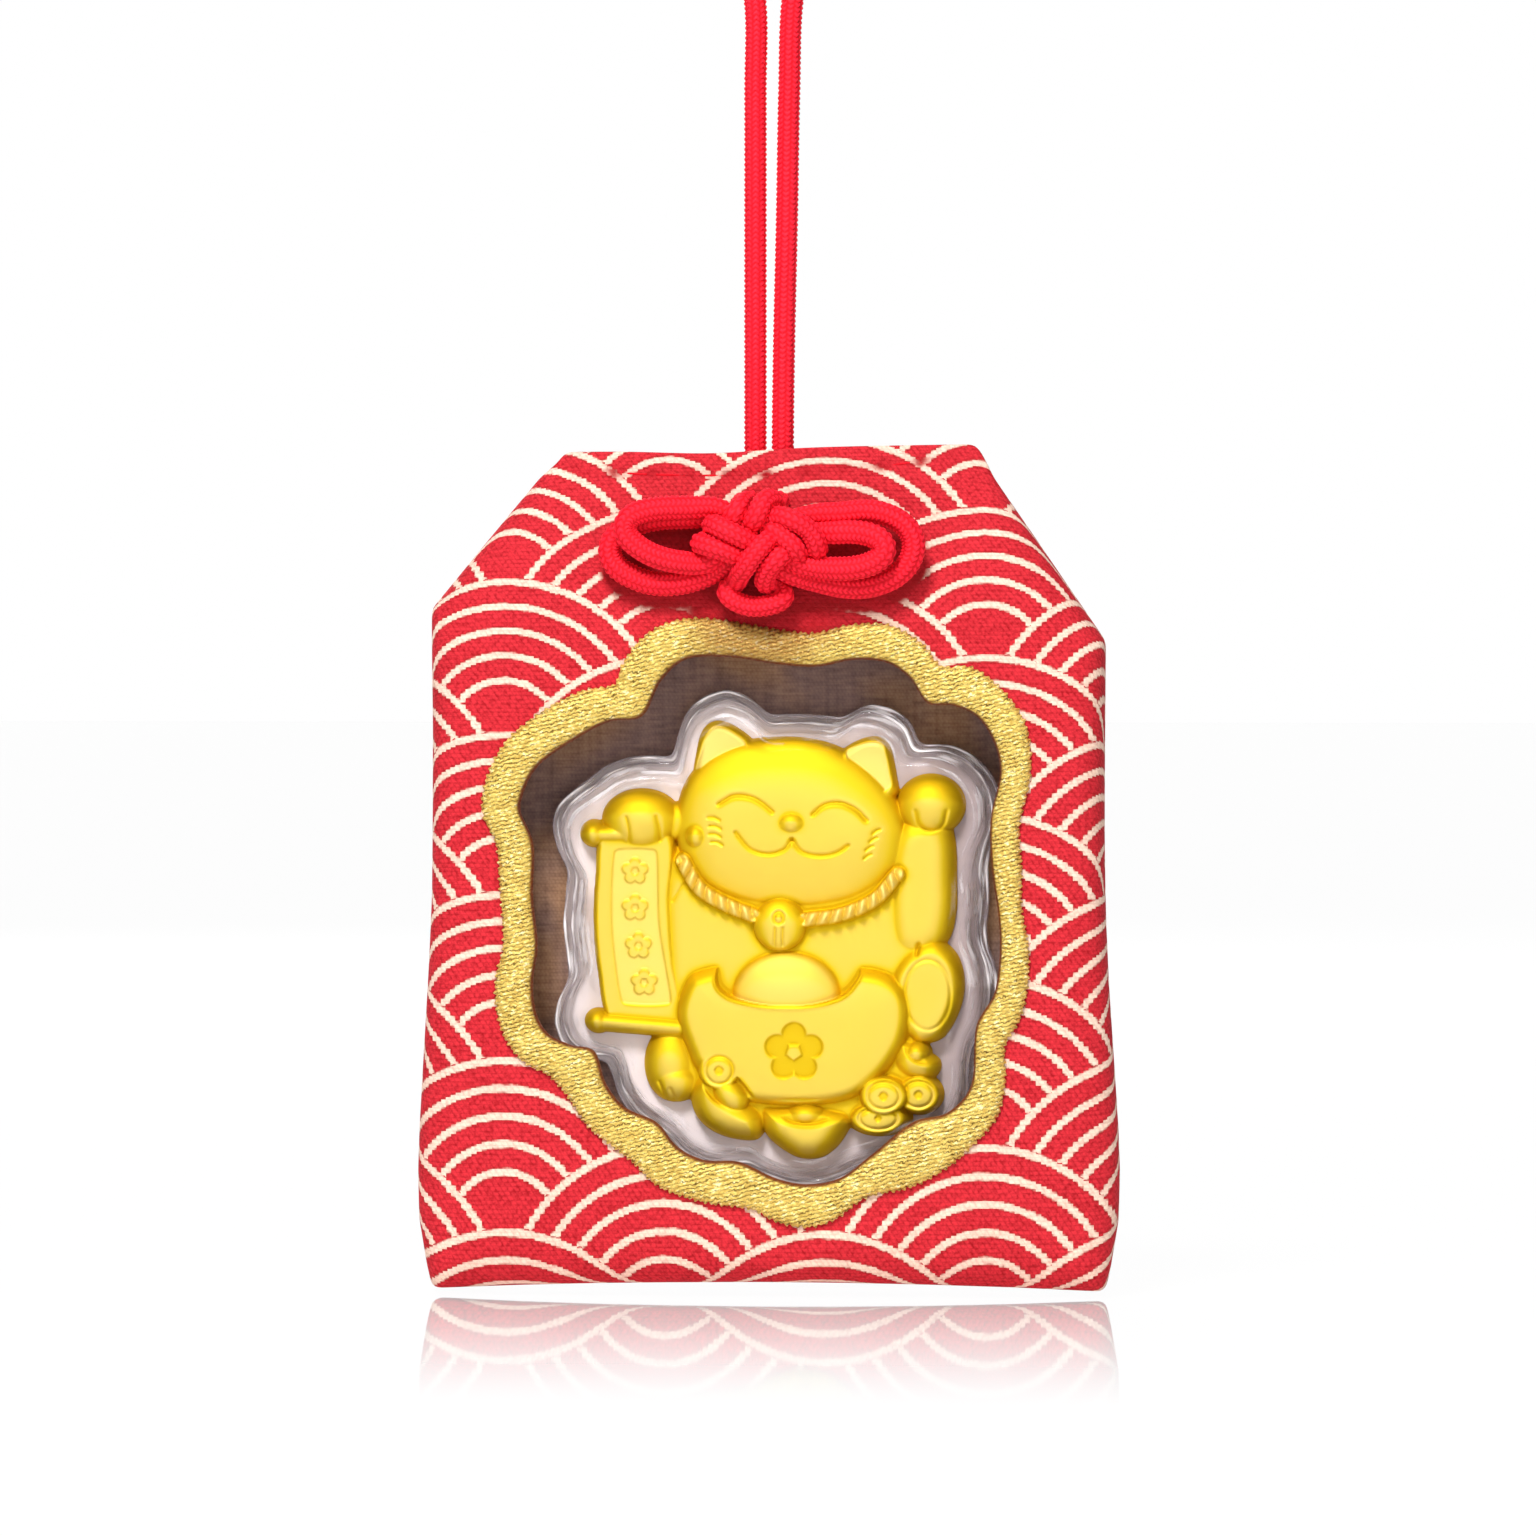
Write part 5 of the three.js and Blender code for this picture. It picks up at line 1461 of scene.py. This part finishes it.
def press_head(cat):
    """Head with its face."""
    cat.pillow(HEAD, rise=2.75, edge=6.2, base=0.9)
    for line in EYES + LIPS:
        cat.groove(line, *FACE_LINE)
    cat.strokes(LEFT_WHISKERS, LEFT_WHISKER, *WHISKER_LINE)
    cat.strokes(RIGHT_WHISKERS, RIGHT_WHISKER, *WHISKER_LINE)
    cat.dome(*NOSE)


def press_paws(cat):
    """Raised paws, rope collar and bell."""
    for form in (COLLAR_KNOB, LEFT_WRIST, LEFT_PAW, RIGHT_PAW):
        cat.dome(*form)
    cat.groove(PALM, *PALM_LINE)
    cat.strokes(PAW_TOES, PAW_TOE, *TOE_LINE)
    cat.rope(LEFT_ROPE, ROPE_RADIUS, ROPE_HEIGHT, ROPE_PITCH)
    cat.rope(RIGHT_ROPE, ROPE_RADIUS, ROPE_HEIGHT, -ROPE_PITCH)
    cat.dome(*BELL)
    cat.ring(*BELL_EYE, *EYE_LINE)
    cat.strokes(BELL_SLITS, BELL_SLIT, *SLIT_LINE)


def press_coin(cat, x, z, wide, tall, rise):
    """A coin with a raised rim and a square hole."""
    cat.dome(x, z, wide, tall, rise, rise - COIN_STEP, COIN_EDGE)
    cat.ring(x, z, wide * COIN_RIM, tall * COIN_RIM, *COIN_LINE)
    size = COIN_HOLE * min(wide, tall)
    cat.sink([(x - size, z), (x, z + size), (x + size, z), (x, z - size)], depth=0.18, edge=0.15)


def press_ingot(cat, belly, hollow, rise):
    """A small boat-shaped ingot: a round belly, cut down behind its lip."""
    cat.pillow(belly, rise, edge=2.2, base=0.3)
    cat.cut(hollow, rise - INGOT_HOLLOW)


def press_blossom(cat, x, z, size, lift):
    """A five-petalled blossom, raised, or sunk where the lift is negative."""
    part = cat.part([(x - 2 * size, z - 2 * size), (x + 2 * size, z + 2 * size)])
    across, up = (cat.x[part] - x) / size, (cat.z[part] - z) / size
    petals = np.zeros(across.shape)
    for turn in np.pi / 2 + turns(PETALS):
        far = np.hypot(across - PETAL_OUT * math.cos(turn), up - PETAL_OUT * math.sin(turn))
        petals = np.maximum(petals, smoothstep(far, *PETAL_EDGE))
    shape = np.maximum(petals - smoothstep(np.hypot(across, up), *STAMEN_EDGE), 0)
    cat.height[part] += lift * shape
    cat.pale[part] -= BLOSSOM_TONE * shape


def press_treasure(cat):
    """The large ingot, small ingots and coins at the cat's feet, with plain blossoms on ingot and scroll."""
    cat.pillow(BOAT, rise=2.92, edge=1.3, base=0.6, broad=5)
    cat.cut(BOAT_HOLLOW, level=1.5)
    cat.dome(*BOAT_CROWN, pale=0.4)
    cat.groove([(x, z - LIP_DROP) for x, z in BOAT_LIP], *LIP_LINE)
    press_blossom(cat, *BOAT_BLOSSOM_PLACE, *BOAT_BLOSSOM)
    for x, z in SCROLL_BLOSSOMS:
        press_blossom(cat, x, z, *SCROLL_BLOSSOM)
    cat.pillow(TREASURE_BED, rise=1.4, edge=1.2)
    press_ingot(cat, LEFT_INGOT, LEFT_INGOT_HOLLOW, rise=2.7)
    press_coin(cat, *COIN_ON_BOAT)
    cat.dome(*LEFT_NUGGET, tilt=-40)
    press_ingot(cat, LOWER_INGOT, LOWER_INGOT_HOLLOW, rise=2.7)
    cat.dome(*LOWER_NUGGET)
    press_ingot(cat, RIGHT_INGOT, RIGHT_INGOT_HOLLOW, rise=2.3)
    cat.dome(*RIGHT_NUGGET)
    for coin in COIN_PILE:
        press_coin(cat, *coin)


def blurred(values, reach_cells):
    """Values averaged over a square of cells, twice."""
    for axis in (0, 1, 0, 1):
        values = np.mean([np.roll(values, k, axis) for k in range(-reach_cells, reach_cells + 1)], axis=0)
    return values


def painted_gold_shading(cat, solid):
    """Painted shade on the gold: how light it is, darker down steep edges, on what faces up, and in hollows.
    """
    rise_z, rise_x = np.gradient(blurred(solid, SLOPE_CELLS), GRID)
    facing_up, facing_down = np.clip(-rise_z, 0, None), np.clip(rise_z, 0, None)
    steep = np.hypot(rise_x, facing_up + LOWER_SHARE * facing_down)
    hollow, wide_hollow = (blurred(solid, cells) - solid for cells in HOLLOW_CELLS)
    edges = STEEP_DARK * smoothstep(steep, *STEEP_SLOPES) + UPPER_DARK * smoothstep(facing_up, *UPPER_SLOPES)
    hollows = HOLLOW_DARK * np.clip(hollow, *HOLLOW_DEPTHS) + WIDE_DARK * np.clip(wide_hollow, *WIDE_DEPTHS)
    return 1 - edges - hollows - np.clip(-cat.pale, 0, 1)


def rim_drawn_in(cat, rim):
    """The grid's places, with its rim points moved to where the sheet's height comes down to nought."""
    x, z, height = cat.x.copy(), cat.z.copy(), cat.height
    rows, columns = height.shape
    for at in rim:
        r, c = divmod(at, columns)
        around = [(r + i, c + j) for i in (-1, 0, 1) for j in (-1, 0, 1)]
        near = [n for n in around if 0 <= n[0] < rows and 0 <= n[1] < columns and height[n] > 0]
        shares = [height[r, c] / (height[r, c] - height[n]) for n in near]
        x[r, c] += np.mean([(cat.x[n] - cat.x[r, c]) * share for n, share in zip(near, shares)])
        z[r, c] += np.mean([(cat.z[n] - cat.z[r, c]) * share for n, share in zip(near, shares)])
    return x, z


def make_cat():
    cat = Relief(GRID_LOW, GRID_HIGH)
    for press in (press_limbs, press_scroll, press_feet, press_head, press_paws, press_treasure):
        press(cat)
    solid = np.maximum(cat.height, 0)
    inside = cat.height.ravel() > 0
    cells = grid_faces(*cat.height.shape, False)
    cells = cells[inside[cells].any(1)]
    used = np.zeros(inside.size, bool)
    used[cells.ravel()] = True
    x, z = rim_drawn_in(cat, np.flatnonzero(used & ~inside))
    keep = np.flatnonzero(used)
    number = np.full(inside.size, -1)
    number[keep] = np.arange(len(keep))
    places = (CENTRE[0] + x, CAT_BACK - solid, CENTRE[1] + z)
    points = np.column_stack([axis.ravel()[keep] for axis in places])
    # Painted shade and paleness, kept on the points
    tone, pale = painted_gold_shading(cat, solid), np.clip(cat.pale, 0, 1)
    marks = {"tone": tone.ravel()[keep], "pale": pale.ravel()[keep]}
    make_piece("cat_relief", points, number[cells].tolist(), "gold", "capsule", ["gold_cat"], marks)


# Floor, backdrop and light, in metres; heights and the mirror's fade in millimetres

FLOOR_HEIGHT = -73.85
FLOOR_WHITE, BACKDROP_WHITE = 0.92, 1.0
MATT_WHITE = (0.9, 0.9, 0.9, 1)
MIRROR_SHARE = 0.62
MIRROR_FADE = -130, 10
STAGE_SIZE = 6.0
BACKDROP_DEPTH = 3.0
BACKDROP_WIDTH = 18.0
ROOM_TINT = (1, 0.985, 0.97, 1)
FRONT_LIGHT, TOP_LIGHT, ROOM_LIGHT = 0.36, 0.08, 0.2
FRONT_SPREAD = 0.2, 0.95
LAMP_AIM_HEIGHT = -36

# Lamps: place from the aim, disk size, watts
LAMPS = {
    "key": ((-0.1, -0.52, 0.56), 0.2, 5.7),
    "fill": ((0.5, -0.6, 0.1), 0.5, 0.8),
    "back": ((-0.2, 0.7, 0.35), 0.6, 4.0),
}


def stage_plane(name, corners, material):
    mesh = bpy.data.meshes.new(name)
    mesh.from_pydata(corners, [], [(0, 1, 2, 3)])
    mesh.materials.append(material)
    add_object(name, mesh)


def seen_directly(tree):
    """1 for camera, glossy and transmission rays."""
    path = tree.nodes.new("ShaderNodeLightPath")
    rays = [Term(tree, path.outputs[f"Is {kind} Ray"]) for kind in ("Camera", "Glossy", "Transmission")]
    return (rays[0] + rays[1] + rays[2]).of("MINIMUM", 1)


def white_stage(name, white_share):
    """Pale matt surface that looks white to the camera but keeps some of its shading."""
    material = bpy.data.materials.new(name)
    material.use_nodes = True
    tree = material.node_tree
    tree.nodes.remove(tree.nodes["Principled BSDF"])
    matt = new_node(tree, "BsdfDiffuse", {"Color": MATT_WHITE})
    white = tree.nodes.new("ShaderNodeEmission")
    return material, tree, mix_shaders(tree, seen_directly(tree) * white_share, matt, white)


def make_floor(half, floor):
    """White floor that mirrors the pouch from its front edge on."""
    material, tree, matt = white_stage("white_floor", FLOOR_WHITE)
    mirror = new_node(tree, "BsdfGlossy", {"Roughness": 0.03, "Color": (1, 1, 1, 1)})
    _, depth, _ = split(place(tree))
    show(tree, mix_shaders(tree, depth.ease(*MIRROR_FADE) * MIRROR_SHARE, matt, mirror))
    corners = [(-half, -half), (half, -half), (half, half), (-half, half)]
    stage_plane("floor", [(x, y, floor) for x, y in corners], material)


def make_backdrop(top, floor):
    material, tree, matt = white_stage("white_backdrop", BACKDROP_WHITE)
    show(tree, matt)
    side = BACKDROP_WIDTH / 2
    corners = [(-side, floor), (side, floor), (side, top), (-side, top)]
    stage_plane("backdrop", [(x, BACKDROP_DEPTH, z) for x, z in corners], material)


def make_stage():
    half, floor = STAGE_SIZE / 2, to_frame((0, 0, FLOOR_HEIGHT))[2]
    make_floor(half, floor)
    make_backdrop(half, floor)


def make_world():
    """Soft room light: brightest from the front and above, dimmer from the sides."""
    world = bpy.data.worlds.new("room")
    bpy.context.scene.world = world
    world.use_nodes = True
    tree = world.node_tree
    coordinates = tree.nodes.new("ShaderNodeTexCoord")
    _, y, z = split(Term(tree, coordinates.outputs["Generated"]))
    front = y.less_from(0).ease(*FRONT_SPREAD)
    background = tree.nodes["Background"]
    put(tree, background.inputs["Strength"], front * FRONT_LIGHT + z.ease(0, 1) * TOP_LIGHT + ROOM_LIGHT)
    background.inputs["Color"].default_value = ROOM_TINT


def make_lights():
    aim = to_frame((0, 0, LAMP_AIM_HEIGHT))
    for name, (offset, size, power) in LAMPS.items():
        data = bpy.data.lights.new(name, "AREA")
        data.shape, data.size, data.energy = "DISK", size, power
        lamp = add_object(name, data)
        lamp.location = aim + offset
        face(lamp, Vector(aim) - lamp.location)


FINISHES = (brocade, gold_thread, lining_cloth, card_paper, braid, gold, pale_plastic, clear_plastic)
MATERIALS = {make.__name__: make() for make in FINISHES}

make_camera()
make_loop()
make_knot()
make_pouch()
make_stitches()
make_border()
make_front_lining()
make_back_lining()
make_gusset()
make_capsule()
make_cat()
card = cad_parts["stiffener_card"]
card.data.materials.clear()
card.data.materials.append(MATERIALS["card_paper"])
make_stage()
make_world()
make_lights()

bpy.context.scene.view_settings.view_transform = "Standard"
